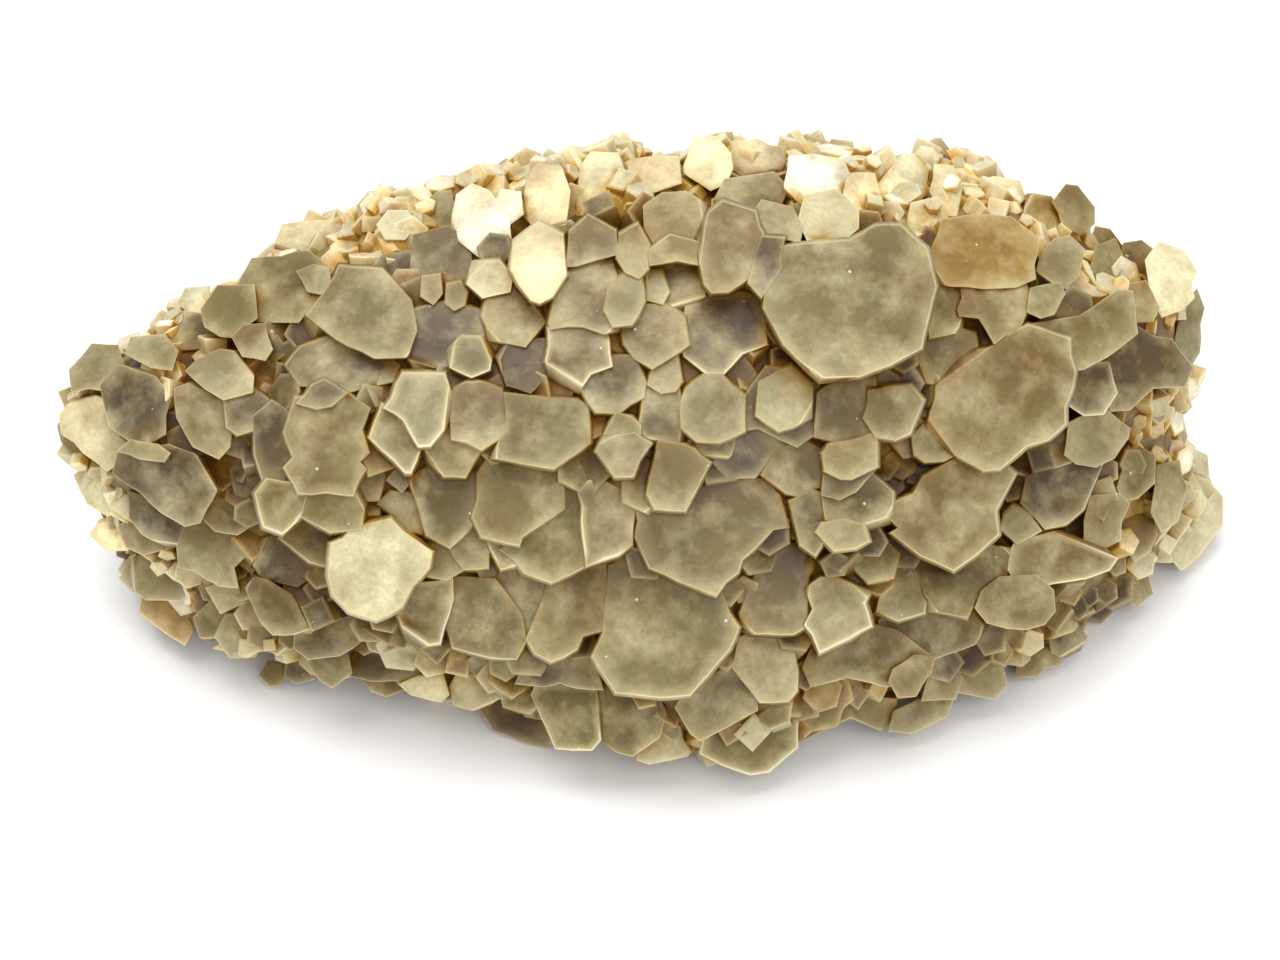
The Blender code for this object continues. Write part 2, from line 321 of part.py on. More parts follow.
    (-0.2, 6, ((36.4, 20), (37, 15), (41.4, 16), (42, 21.4), (38.6, 22.4))),
    (0.1, 4, ((40.6, 18.8), (41, 21.8), (45, 22.8), (49.6, 22), (50.3, 19.8), (48.8, 16.4), (45.4, 14.3),
     (43.4, 17.6), (40.9, 17.9))),
    (0.1, 2, ((36.8, 25), (38.6, 30.4), (43, 31.2), (47.6, 30.8), (51.2, 28), (50.8, 22.7), (48.3, 21.6),
     (44, 21.4), (38.2, 21.9))),
    (0.2, 0, ((15.6, 19), (15.7, 21), (17.4, 26.9), (26.8, 27.7), (30, 29.6), (33.2, 29.7), (36.7, 26.6),
     (37.9, 21.8), (36, 13.8), (32, 11.6), (28.2, 10.2), (23, 9.6), (18.2, 14.2))),
    (0.4, 4, ((50.7, 23.4), (51.4, 26.2), (53.2, 28), (55.2, 28.4), (57.1, 26.6), (56.4, 23.2),
     (54.8, 21.4), (52.4, 22))),
    (0.1, 8, ((57.4, 22.6), (58.4, 27), (61, 28), (62.2, 25.4), (61.6, 22.6), (59.4, 21.4))),
    (0.4, 10, ((64.8, 25.2), (66.6, 27.6), (70, 26.3), (71.6, 23.6), (71.3, 20.3), (69.8, 18.7),
     (67, 17.7), (65.4, 21))),
)


def sight_point(u, v, w):
    """The point in space that is seen at (u, v) on the sight plane when it lies at depth w."""
    spread = (EYE_DISTANCE - w) / EYE_DISTANCE
    slope = math.radians(SIGHT_ELEVATION)
    x = u * spread
    y = v * spread * math.sin(slope) - w * math.cos(slope)
    z = v * spread * math.cos(slope) + w * math.sin(slope)
    return Vector((x + BODY_SHIFT[0], y + BODY_SHIFT[1], z + TABLE_DROP))


def settled(point):
    """A point of the mass, with the underside drawn up so that only its lowest part meets the table."""
    if point.z < SETTLE_BELOW:
        point.z = SETTLE_BELOW - SETTLE_SHARE * (SETTLE_BELOW - point.z)
    return point


def rim_at(angle):
    """The rim's radius and depth in one direction on the sight plane."""
    marks = sorted((math.atan2(v, u), math.hypot(u, v), w) for u, v, w in RIM)
    after = next((n for n, mark in enumerate(marks) if mark[0] > angle), 0)
    a = marks[after - 1]
    b = marks[after]
    share = ((angle - a[0]) % math.tau) / ((b[0] - a[0]) % math.tau)
    return a[1] + share * (b[1] - a[1]), a[2] + share * (b[2] - a[2])


def ground_depth(u, v):
    """How far forward the front of the bare mass lies at (u, v)."""
    radius, depth = rim_at(math.atan2(v, u))
    inside = max(0.0, 1.0 - (math.hypot(u, v) / radius) ** 2)
    return depth * (1.0 - inside) + FRONT_BULGE * inside ** (PROFILE_FULLNESS / 2)


def mass_point(direction):
    """A unit direction laid onto the mass: its x and y go round the rim, and z is front or back."""
    across = math.hypot(direction.x, direction.y)
    radius, depth = rim_at(math.atan2(direction.y, direction.x))
    full = math.copysign(abs(direction.z) ** PROFILE_FULLNESS, direction.z)
    if full > 0:
        bulge = FRONT_BULGE * full
    else:
        bulge = BACK_BULGE * full - RIM_ROUNDING * depth * across**2 * full
    return radius * direction.x, radius * direction.y, depth * across**2 + bulge


def held(slope):
    """A slope of the mass, kept to what a crystal can follow."""
    return max(-STEEPEST_GROUND, min(STEEPEST_GROUND, slope))


def corner_area(outline, n):
    """The area that an outline loses when its corner n is dropped, in square millimetres."""
    (ax, ay), (bx, by), (cx, cy) = outline[n - 1], outline[n], outline[(n + 1) % len(outline)]
    return abs((bx - ax) * (cy - ay) - (cx - ax) * (by - ay)) / 2


def trimmed(outline):
    """The outline without the corners that shape it least."""
    kept = list(outline)
    while len(kept) > 4:
        least = min(range(len(kept)), key=lambda n: corner_area(kept, n))
        if corner_area(kept, least) > LEAST_CORNER:
            break
        del kept[least]
    return kept


def middle(outline):
    """The mean of an outline's corners."""
    return tuple(sum(corner[axis] for corner in outline) / len(outline) for axis in (0, 1))


def covers(outline, point):
    """Whether a point lies inside an outline, seen along the line of sight."""
    centre = middle(outline)
    return any(
        intersect_point_tri_2d(point, centre, outline[n - 1], outline[n]) for n in range(len(outline))
    )


class Plate:
    """One tabular crystal: its outline and the slanted plane that its flat end lies in."""

    def __init__(self, tone, turn, outline):
        self.outline = trimmed(outline)
        self.centre = middle(self.outline)
        u, v = self.centre
        right = (ground_depth(u + SLOPE_REACH, v) - ground_depth(u - SLOPE_REACH, v)) / (2 * SLOPE_REACH)
        up = (ground_depth(u, v + SLOPE_REACH) - ground_depth(u, v - SLOPE_REACH)) / (2 * SLOPE_REACH)
        lean = math.radians(PLATE_LEAN + LEAN_PER_TONE * tone)
        self.slope_u = FOLLOW_GROUND * held(right) - math.tan(math.radians(turn))
        self.slope_v = FOLLOW_GROUND * held(up) - math.tan(lean)
        self.depth = ground_depth(u, v) + PLATE_RISE

    def face(self, u, v):
        """The depth of the flat end at (u, v)."""
        return self.depth + self.slope_u * (u - self.centre[0]) + self.slope_v * (v - self.centre[1])

    def seat_on(self, placed):
        """Lift the crystal until its flat end passes in front of every one that it laps over."""
        own = self.outline + [self.centre]
        for other in placed:
            shared = [p for p in own if covers(other.outline, p)]
            shared += [p for p in other.outline if covers(self.outline, p)]
            lift = max((other.face(*p) + PLATE_STEP - self.face(*p) for p in shared), default=0.0)
            self.depth += max(0.0, lift)
        self.depth = min(self.depth, ground_depth(*self.centre) + PLATE_RISE + LARGEST_LIFT)

    def thickness(self):
        """From the flat end at its middle down to a root inside the mass."""
        return max(LEAST_THICKNESS, self.depth - ground_depth(*self.centre) + ROOT_DEPTH)


def filled_outline(outline, name):
    """A flat outline with thickness, as a closed mesh one unit deep either way."""
    curve = bpy.data.curves.new(name, "CURVE")
    curve.dimensions = "2D"
    curve.fill_mode = "BOTH"
    curve.extrude = 0.5
    spline = curve.splines.new("POLY")
    spline.points.add(len(outline) - 1)
    for point, (u, v) in zip(spline.points, outline):
        point.co = (u, v, 0, 1)
    spline.use_cyclic_u = True
    drawn = bpy.data.objects.new(name, curve)
    bpy.context.scene.collection.objects.link(drawn)
    shape = drawn.evaluated_get(bpy.context.evaluated_depsgraph_get())
    mesh = bpy.data.meshes.new_from_object(shape)
    bpy.data.objects.remove(drawn)
    bpy.data.curves.remove(curve)
    body = bmesh.new()
    body.from_mesh(mesh)
    bmesh.ops.remove_doubles(body, verts=body.verts, dist=WELD)
    return mesh, body


def plate_mesh(plate, name):
    """The crystal as a solid: a flat end in front and sides that draw in towards the root."""
    mesh, body = filled_outline(plate.outline, name)
    deep = plate.thickness()
    for vert in body.verts:
        u = vert.co.x
        v = vert.co.y
        w = plate.face(u, v)
        if vert.co.z < 0:
            u = plate.centre[0] + ROOT_TAPER * (u - plate.centre[0])
            v = plate.centre[1] + ROOT_TAPER * (v - plate.centre[1])
            w -= deep
        vert.co = sight_point(u, v, w) * MM
    bmesh.ops.recalc_face_normals(body, faces=body.faces)
    body.to_mesh(mesh)
    body.free()
    return mesh


def mass_mesh():
    """The lumpy mass that all the crystals stand on."""
    body = bmesh.new()
    bmesh.ops.create_icosphere(body, subdivisions=3, radius=1.0)
    for vert in body.verts:
        vert.co = settled(sight_point(*mass_point(vert.co.normalized()))) * MM
    bmesh.ops.recalc_face_normals(body, faces=body.faces)
    mesh = bpy.data.meshes.new("mass")
    body.to_mesh(mesh)
    body.free()
    return mesh


def block_mesh(rng, spot, outward, name):
    """One blocky crystal of the hidden sides: a short prism with 4 to 6 sides, half sunk."""
    size = rng.uniform(*BLOCK_SIZE)
    sides = rng.choice((4, 5, 6, 6))
    top = size * rng.uniform(*BLOCK_TOP)
    length = size * rng.uniform(*BLOCK_LENGTH)
    body = bmesh.new()
    bmesh.ops.create_cone(body, cap_ends=True, segments=sides, radius1=size, radius2=top, depth=length)
    tumble = Matrix.Rotation(rng.uniform(0, math.tau), 4, "Z")
    roll = Matrix.Rotation(rng.gauss(0, BLOCK_TILT), 4, "X")
    tilt = roll @ Matrix.Rotation(rng.gauss(0, BLOCK_TILT), 4, "Y")
    stand = outward.to_track_quat("Z", "Y").to_matrix().to_4x4()
    place = Matrix.Translation((spot - outward * size * BLOCK_SINK) * MM)
    body.transform(place @ stand @ tilt @ tumble @ Matrix.Scale(MM, 4))
    mesh = bpy.data.meshes.new(name)
    body.to_mesh(mesh)
    body.free()
    return mesh


def hidden_spots(count):
    """Evenly spread places on the mass that no traced crystal covers, with their outward directions."""
    golden = math.pi * (3 - math.sqrt(5))
    found = []
    for n in range(count):
        z = BLOCKS_START - BLOCKS_SPAN * (n + 0.5) / count
        ring = math.sqrt(1 - z * z)
        direction = Vector((ring * math.cos(golden * n), ring * math.sin(golden * n), z))
        if z > TRACED_ABOVE and direction.y < CREST_BEYOND:
            continue
        spot = settled(sight_point(*mass_point(direction)))
        nearby = [sight_point(*mass_point((direction + Vector(step)).normalized())) for step in NEARBY_STEPS]
        outward = (nearby[1] - nearby[0]).cross(nearby[2] - nearby[0]).normalized()
        if outward.dot(spot - sight_point(*HEART)) < 0:
            outward.negate()
        found.append((spot, outward))
    return found


def linked(mesh, name, home):
    """An object for a mesh, in a collection."""
    made = bpy.data.objects.new(name, mesh)
    home.objects.link(made)
    return made


def apply_modifiers(piece):
    """Make what the modifiers show the piece's own mesh."""
    shown = piece.evaluated_get(bpy.context.evaluated_depsgraph_get())
    mesh = bpy.data.meshes.new_from_object(shown)
    piece.modifiers.clear()
    piece.data = mesh


def keep_outer_shell(mesh):
    """Fill every sealed hollow between the crystals by dropping its inner walls."""
    body = bmesh.new()
    body.from_mesh(mesh)
    unseen = set(body.faces)
    shells = []
    while unseen:
        front = [unseen.pop()]
        shell = list(front)
        while front:
            face = front.pop()
            for edge in face.edges:
                for other in edge.link_faces:
                    if other in unseen:
                        unseen.discard(other)
                        front.append(other)
                        shell.append(other)
        shells.append(shell)
    largest = max(shells, key=len)
    inner = [face for shell in shells if shell is not largest for face in shell]
    bmesh.ops.delete(body, geom=inner, context="FACES")
    body.to_mesh(mesh)
    body.free()


def calcite_material():
    """Frosted honey-grey calcite."""
    material = bpy.data.materials.new("calcite")
    material.use_nodes = True
    shader = material.node_tree.nodes["Principled BSDF"]
    shader.inputs["Base Color"].default_value = (0.42, 0.36, 0.24, 1)
    shader.inputs["Roughness"].default_value = 0.45
    shader.inputs["Metallic"].default_value = 0.0
    shader.inputs["IOR"].default_value = 1.6
    return material


def table_slab(home):
    """The space under the table, which cuts the flat spot that the specimen rests on."""
    slab = bmesh.new()
    bmesh.ops.create_cube(slab, size=TABLE_SLAB)
    bmesh.ops.translate(slab, verts=slab.verts, vec=(0, 0, -TABLE_SLAB / 2))
    mesh = bpy.data.meshes.new("below_the_table")
    slab.to_mesh(mesh)
    slab.free()
    table = linked(mesh, "below_the_table", home)
    table.hide_render = True
    table.display_type = "WIRE"
    return table


def empty_scene():
    """Remove whatever the scene holds."""
    for item in list(bpy.context.scene.objects):
        bpy.data.objects.remove(item)


def main():
    """Grow the cluster, join it into one solid and cut its rest flat."""
    empty_scene()
    rng = random.Random(SEED)
    parts = bpy.data.collections.new("calcite specimen")
    growth = bpy.data.collections.new("crystals to join")
    cutters = bpy.data.collections.new("cutters")
    for home in (parts, growth, cutters):
        bpy.context.scene.collection.children.link(home)

    cluster = linked(mass_mesh(), "calcite_cluster", parts)
    cluster.data.materials.append(calcite_material())

    placed = []
    for n, (tone, turn, outline) in enumerate(PLATES):
        plate = Plate(tone, turn, outline)
        plate.seat_on(placed)
        placed.append(plate)
        linked(plate_mesh(plate, f"plate_{n}"), f"plate_{n}", growth)
    for n, (spot, outward) in enumerate(hidden_spots(BLOCK_COUNT)):
        linked(block_mesh(rng, spot, outward, f"block_{n}"), f"block_{n}", growth)

    join = cluster.modifiers.new("grown together", "BOOLEAN")
    join.operation = "UNION"
    join.solver = "EXACT"
    join.operand_type = "COLLECTION"
    join.collection = growth
    apply_modifiers(cluster)
    keep_outer_shell(cluster.data)

    rest = cluster.modifiers.new("rest", "BOOLEAN")
    rest.operation = "DIFFERENCE"
    rest.solver = "EXACT"
    rest.object = table_slab(cutters)
    apply_modifiers(cluster)

    for item in list(growth.objects):
        bpy.data.objects.remove(item)
    bpy.data.collections.remove(growth)


main()
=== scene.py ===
"""The look of a calcite specimen that lies on a pale table.

Frosted tabular crystals overlap like roof tiles over one lumpy mass. Fine crystals fill the
hollows between them, and the crest, the ends and the back are rough, paler crystals. The colour
carries painted light and shade: paler on the upward-facing crest and on crystals that lean to the
light, a glow along the crystals' edges, and shade in the hollows.
"""

import logging
import math
import random
from collections.abc import Callable, Sequence
from dataclasses import dataclass, field
from enum import Enum

import bmesh
import bpy
import numpy as np
from mathutils import Matrix, Vector
from mathutils.bvhtree import BVHTree
from mathutils.geometry import intersect_point_line, intersect_point_tri_2d


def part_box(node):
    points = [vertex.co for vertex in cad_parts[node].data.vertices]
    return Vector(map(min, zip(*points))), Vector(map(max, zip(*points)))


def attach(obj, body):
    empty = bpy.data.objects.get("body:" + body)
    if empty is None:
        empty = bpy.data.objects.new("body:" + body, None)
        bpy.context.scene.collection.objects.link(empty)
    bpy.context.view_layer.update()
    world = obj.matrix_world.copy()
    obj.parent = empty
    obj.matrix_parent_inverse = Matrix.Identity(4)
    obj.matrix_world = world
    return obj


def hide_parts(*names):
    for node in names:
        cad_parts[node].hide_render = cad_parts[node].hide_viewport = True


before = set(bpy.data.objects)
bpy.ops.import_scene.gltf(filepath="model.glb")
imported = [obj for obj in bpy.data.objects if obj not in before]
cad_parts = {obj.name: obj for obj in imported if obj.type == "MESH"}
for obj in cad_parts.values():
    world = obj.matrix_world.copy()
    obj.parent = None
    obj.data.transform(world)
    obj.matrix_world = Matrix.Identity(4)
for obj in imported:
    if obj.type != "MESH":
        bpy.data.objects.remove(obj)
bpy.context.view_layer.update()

LOG = logging.getLogger("calcite")
MM = 0.001
NODE = "calcite_cluster"
SEED = 2713

Corner = tuple[float, float]
Outline = tuple[Corner, ...]


class Tint(Enum):
    """The body colours that the crystals show, as sRGB hex."""

    PALE = "F4EFDD"
    FROST = "C8C4A8"
    CREAM = "EAE1BF"
    GREY = "938A66"
    TAN = "7E6F3B"
    MAUVE = "806C3F"
    HONEY = "977E38"
    OLIVE = "645214"
    BROWN = "4E3707"


# The calm shape of the mass under the crystals, as (u, v, depth of the rim) clockwise from the left end.
# u runs to the right and v up on a plane square to the line of sight, and depth runs to the eye, in mm.
RIM = (
    (-72, 4, -8), (-70.5, 10, -9), (-65, 14, -10), (-57, 18.5, -11), (-50, 22.5, -12), (-42, 27, -12),
    (-33, 29.5, -12), (-22, 32, -12), (-12, 35, -12), (0, 36.5, -12), (10, 38, -12), (20, 37, -13),
    (32, 35.5, -14), (42, 33, -15), (52, 31, -17), (60, 25.5, -19), (68, 22.5, -21), (69.5, 14, -24),
    (68.5, 6, -26), (68, 0, -29), (72, -6, -34), (69.5, -12, -33), (61.5, -19, -24), (52, -25, -16),
    (42, -28.5, -11), (30, -32, -7), (21, -35, -3), (13, -38, 0), (4, -37, -1), (-8, -35.5, -3),
    (-20, -32, -8), (-32, -28.5, -12), (-44, -27, -14), (-56, -22.5, -17), (-62.5, -17, -18),
    (-66.5, -10, -14), (-69.5, -3, -10),
)

# The tabular crystals from the deepest to the most forward: tint, a tone that sets how far the flat end
# leans back to the light and also lightens or darkens its colour (partly its own tone, partly painted
# light on those that lean to the light and painted shade on those that turn away), how many degrees it
# faces to the right, and the flat end's outline in (u, v).
TABULAR = (
    # The pale blocks along the crest, whose high tones lighten them, partly as painted light on the upward-facing
    # top.
    ("cream", 0.6, -6, ((-60, 19.4), (-59, 21.6), (-55.8, 21.8), (-55.6, 19.8), (-58, 18))),
    ("cream", 0.6, -4, ((-47.8, 26.5), (-46.4, 29.8), (-42, 30.3), (-38.2, 30.3), (-38, 27), (-41, 25.2),
     (-44, 25.8))),
    ("pale", 0.8, -2, ((-38.2, 27.4), (-37.8, 31), (-36.4, 32.7), (-33.8, 32.9), (-33.4, 29),
     (-34.2, 24.7), (-36.4, 24.6))),
    ("cream", 0.4, 0, ((-34, 26.6), (-33.6, 30.8), (-30.8, 32), (-28.4, 31), (-28.6, 26), (-30.6, 23.2),
     (-33, 23.6))),
    ("olive", -0.1, 0, ((-30, 24), (-29.6, 28.4), (-25, 29.6), (-21.8, 27.6), (-22, 23.6), (-23, 21),
     (-27, 22.4))),
    ("grey", 0.4, 0, ((-28.6, 30), (-28, 32.8), (-26.4, 34), (-24.6, 34.2), (-23.6, 30), (-26, 28.2))),
    ("pale", 0.5, 0, ((-25, 28.6), (-24, 33.6), (-22, 35.1), (-19.8, 34.2), (-17, 31), (-16.8, 27.6),
     (-20.8, 25.2))),
    ("pale", 0.7, 0, ((-19.6, 32), (-18.2, 34.4), (-15.6, 34), (-15.2, 31), (-17, 29.6))),
    ("cream", 0.5, 0, ((-15.6, 31), (-15, 36.2), (-13, 38), (-10.6, 38), (-9.2, 34), (-9.8, 29.6),
     (-13.6, 28.8))),
    ("cream", 0.5, 0, ((-8.7, 31), (-9, 36), (-6.6, 39.2), (-3, 39), (-1.4, 34.6), (-2.6, 30.2),
     (-4.6, 29.2), (-8, 30.4))),
    ("cream", 0.6, 0, ((-2.4, 31.6), (-1.8, 38), (1.4, 38.6), (4.8, 38.6), (5.2, 35), (1, 33.6),
     (0, 30.6))),
    ("cream", 0.6, 0, ((5, 36.6), (6.6, 41), (9.4, 41.2), (11.5, 39), (11.8, 37), (10.9, 34.9), (8.8, 34),
     (6, 35.8))),
    ("cream", 0.5, 2, ((11.2, 37), (11.6, 40.4), (15, 40.8), (18.4, 39.8), (18.6, 38), (18, 36.3),
     (13.6, 35.4))),
    ("olive", -0.2, 2, ((9, 32.6), (10.6, 35.6), (17, 36.6), (19, 34.6), (18, 32.2), (13.4, 31.8))),
    ("pale", 0.6, 2, ((18.2, 33.2), (18.8, 38.6), (22, 38.9), (26, 38.2), (27.4, 34.8), (24.6, 33),
     (20.6, 32))),
    ("cream", 0.3, 4, ((25.6, 32.6), (26.4, 36.6), (30, 36.4), (31.6, 31.4), (28.6, 29.6))),
    ("cream", 0.5, 4, ((30, 33.8), (31.2, 37.6), (32.6, 39), (35, 38.9), (37, 36.8), (36.8, 33.6),
     (34, 31.6), (31.4, 31.8))),
    ("cream", 0.4, 6, ((34, 29.4), (34.6, 32.6), (38, 33.4), (39.6, 30.6), (38, 27.8), (35.4, 28.4))),
    ("cream", 0.6, 6, ((37, 34), (37.6, 37.6), (40.2, 37.4), (41.4, 34.6), (40.6, 30.6), (38.4, 31))),
    ("cream", 0.5, 8, ((41, 31.6), (41.6, 35), (45.4, 36), (48.8, 35.4), (50, 31.6), (46, 30))),
    ("honey", 0.3, 8, ((49, 29.6), (49.4, 34), (52.8, 33.4), (54.6, 30.6), (54, 28.4), (51, 28.2))),
    ("tan", 0.3, 10, ((52.8, 32.6), (54.6, 35), (56.2, 34.8), (58.4, 32), (58.4, 29.8), (56.4, 28.4),
     (54, 29.6))),
    ("tan", 0.3, 12, ((57.6, 26.6), (58.4, 29.6), (60.4, 29.2), (62, 27), (61.6, 24.6), (59, 24.4))),
    ("tan", 0.4, 12, ((61.6, 24.6), (62, 27.4), (64.4, 27.8), (66, 26.6), (65.4, 22.6), (63, 22.4))),
    ("honey", 0.0, 12, ((61.8, 18.2), (62.2, 22), (65, 22.6), (66.8, 19), (66, 17.2), (63.6, 17))),
    ("grey", 0.0, 20, ((68.4, 13.4), (69.6, 19.4), (71.6, 21.6), (72.6, 19), (72, 13.2), (70.6, 11))),
    ("cream", 0.5, 22, ((66.8, -12), (68, -5.4), (70.2, -1.6), (73, -3), (75, -5.4), (75, -9), (72, -13),
     (69.6, -15))),
    # Foot of the front, left to right.
    ("tan", -0.4, 0, ((-58, -21), (-57, -24), (-52.5, -24), (-50, -21.5), (-51, -18.5), (-55, -18))),
    ("cream", 0.2, -8, ((-55.5, -25), (-53, -23.5), (-50, -24), (-47.5, -23.7), (-47.2, -25.2),
     (-51, -26.3))),
    ("tan", 0.4, -6, ((-49.5, -28.5), (-48.3, -26.5), (-46.4, -27), (-46.1, -28.7), (-46.8, -29.9),
     (-48.2, -29.9))),
    ("brown", -0.2, -4, ((-46.3, -28.8), (-46, -25), (-43, -24), (-42, -26), (-42.2, -29),
     (-44.5, -29.6))),
    ("brown", -0.3, 4, ((-45, -25), (-45, -20), (-41, -18), (-37, -20), (-36, -24), (-39, -26),
     (-43, -26.5))),
    ("olive", 0.0, 0, ((-38, -28.5), (-37.5, -25.5), (-31, -24.3), (-25, -24.5), (-24.3, -27.2), (-27, -29),
     (-35, -29.3))),
    ("tan", 0.2, -6, ((-36, -29.2), (-34, -27.8), (-31.3, -28.6), (-30.4, -30.3), (-33, -31.3),
     (-35, -30.6))),
    ("cream", 0.4, 6, ((-31.5, -29.6), (-29, -28.4), (-25.6, -28.2), (-24.8, -31), (-26, -32),
     (-30, -31))),
    ("olive", 0.1, -4, ((-43.2, -27), (-42.8, -24.8), (-39, -24), (-37.8, -26), (-37.4, -28.2),
     (-40, -30.2), (-41.7, -29.1))),
    ("mauve", 0.3, -8, ((-36.1, -23.2), (-34.6, -22), (-32.5, -23), (-31.9, -25), (-33.5, -25.8),
     (-35.2, -25.3))),
    ("brown", -0.1, 6, ((-20.8, -33), (-17, -30.5), (-13, -30), (-11.5, -36), (-12, -38), (-15.6, -37.1),
     (-19.3, -35.6))),
    ("frost", 0.7, -4, ((-25, -30), (-23.5, -27.4), (-20, -26.5), (-17.4, -27.4), (-16.8, -30.5),
     (-19.5, -32.4), (-21.5, -33.2), (-24.3, -32.4))),
    ("tan", -0.1, 0, ((-6, -30), (-3, -28), (2, -29), (3.4, -32.8), (2.3, -36.5), (-1.2, -39),
     (-3.4, -38.4), (-5.4, -36.8))),
    ("tan", 0.2, -5, ((-14.4, -31), (-13.8, -29.6), (-6, -29.8), (-4.8, -33), (-5, -36.6), (-6.4, -38.2),
     (-11.2, -38), (-12.3, -35.5))),
    ("frost", 0.8, 3, ((-0.8, -39.4), (0, -36.5), (2.4, -35), (5, -36), (6.4, -38.2), (6, -38.9),
     (1, -40))),
    ("tan", 0.0, 5, ((22, -29.8), (25.5, -29.2), (28.7, -29.4), (30.5, -31.2), (33, -31.4), (32.8, -34),
     (30.8, -35.6), (27, -34), (24.6, -35), (20.4, -37.2), (19.8, -33))),
    ("grey", 0.4, 8, ((31.8, -35.7), (32.4, -33), (35, -31.8), (38, -29.8), (40.4, -31.2), (39.4, -33.8),
     (35, -36))),
    ("grey", 0.1, 8, ((36, -31.8), (37, -27.8), (40, -26.5), (41.5, -28.5), (40.5, -31.6))),
    ("tan", 0.1, -6, ((7.4, -38.6), (8, -36), (11, -33), (18.6, -31.9), (20.3, -33.3), (20.2, -37.8),
     (16.5, -41), (14, -41.4), (10.5, -40.2))),
    ("grey", 0.0, 4, ((40.2, -30.6), (40.6, -28), (43.6, -26), (45.2, -26.9), (46.6, -26.2), (47.2, -29.8),
     (45.5, -31.5))),
    ("olive", -0.3, 6, ((30.4, -21.4), (34, -18), (42, -18.5), (45, -22), (43, -24.5), (37.5, -26.5),
     (32, -26))),
    ("olive", 0.0, 4, ((22.4, -23.5), (27, -21), (33, -22.5), (37.3, -25.8), (36, -29), (31.5, -30),
     (26.5, -28.8), (21.8, -30), (20.6, -27.5))),
    ("tan", 0.3, 4, ((31.8, -29.3), (32.3, -27.6), (35.2, -25.7), (37.8, -26), (37.4, -28), (35.4, -31.2),
     (33, -31.3))),
    ("tan", 0.2, 10, ((48, -28.8), (48.5, -25.5), (53, -24.6), (54.4, -27), (51, -28.6))),
    ("brown", 0.1, 12, ((52.4, -23), (54.2, -21.4), (56.2, -21.5), (57.6, -23.4), (56.8, -25.4),
     (54.6, -26.4), (52.8, -25.5))),
    ("cream", 0.3, 14, ((57.4, -24.4), (58, -22), (61, -20.6), (64.3, -19.4), (61, -22.3))),
    ("olive", -0.1, 4, ((5.2, -30.8), (8, -29), (12.3, -26), (15.3, -30), (15, -33), (11, -35.2),
     (7.6, -37), (6.2, -36), (4.2, -32.6))),
    # Lower front.
    ("brown", -0.5, 0, ((-16.4, -29.6), (-14.6, -24.6), (-8, -24.6), (-6, -27), (-4.9, -30.4),
     (-12.6, -30))),
    ("grey", 0.1, -3, ((11.6, -27.4), (12.3, -23.6), (14, -22.7), (18, -23.2), (19.4, -24.1), (20.2, -28),
     (20.1, -30.4), (19, -31.8), (15.2, -32))),
    ("olive", 0.0, 0, ((12.5, -20.4), (13, -22.4), (14.2, -23.1), (19.6, -23.1), (21.5, -22), (21.4, -17),
     (22.6, -14), (20, -11.2), (16.6, -12), (14.8, -14.6))),
    ("olive", -0.5, 2, ((-18.9, -16.2), (-18, -13.8), (-15, -14.8), (-11.8, -15.5), (-12.2, -21),
     (-14.6, -25), (-16, -20))),
    ("grey", 0.3, 4, ((21, -17.2), (23, -15.7), (25.2, -15.7), (29.5, -17.7), (28.8, -19.1), (29.7, -22.1),
     (27, -23.6), (22.9, -25.6), (22, -23.3), (20.9, -21.9), (22, -19.9))),
    ("mauve", -0.2, 5, ((-25.4, -22), (-24.2, -15.7), (-18.9, -15.9), (-15.4, -20.6), (-14.9, -24),
     (-16.2, -26.4), (-19.6, -26.2), (-24.4, -24.9))),
    ("mauve", 0.0, 2, ((-14.9, -23.8), (-13, -19), (-11.8, -15.2), (-4.6, -12.6), (-4.2, -22.6),
     (-7.6, -23.4), (-8.3, -25), (-11.7, -26.7), (-13.8, -25.6))),
    ("tan", 0.2, 0, ((-6.4, -26), (-5, -23), (-4.4, -14.2), (1, -12.6), (9.8, -16.8), (12.5, -22.2),
     (11.2, -25.2), (6.2, -31), (2.5, -31.3), (-3.3, -30.7))),
    ("tan", 0.0, 3, ((-31.6, -20.6), (-30.6, -16.6), (-24.4, -15.8), (-24.3, -18.6), (-26, -24.4),
     (-28.6, -24.8), (-30.3, -23.6))),
    ("grey", -0.3, 8, ((30.2, -20.2), (30.4, -17), (31.1, -14.9), (35.2, -14.3), (37, -17.8), (36.4, -20.4),
     (33, -21.4))),
    ("olive", -0.2, 6, ((35, -13), (37, -11), (44, -11.5), (47.6, -12), (47, -15.6), (43.4, -18), (42, -21),
     (37, -20))),
    ("mauve", 0.2, 8, ((42.8, -19.6), (43.4, -17.7), (46.2, -15.6), (51, -15.4), (53.2, -17.4),
     (53.4, -20.2), (52, -21.9), (49.6, -22.6), (47, -22.4), (44.5, -21.7))),
    ("mauve", 0.2, 10, ((46.8, -14), (48, -11.2), (54.4, -9.4), (60, -11.9), (61.6, -13.2), (60.4, -14.9),
     (57.4, -16), (53.4, -16.6), (48.6, -17.6))),
    ("grey", -0.1, 12, ((61, -17), (62.5, -15.4), (65.4, -15.6), (66, -17.9), (64, -19.6), (62.3, -18.9))),
    ("grey", 0.0, 12, ((61.6, -11.2), (62, -8.6), (64, -7.6), (66.2, -8.2), (66.5, -10.4), (65.6, -12.4),
     (63.6, -13.8))),
    # Left end.
    ("cream", 0.3, -14, ((-65, -20.4), (-64.6, -18.4), (-60, -18.6), (-57.8, -22.6), (-59, -24.7),
     (-61.4, -23.2))),
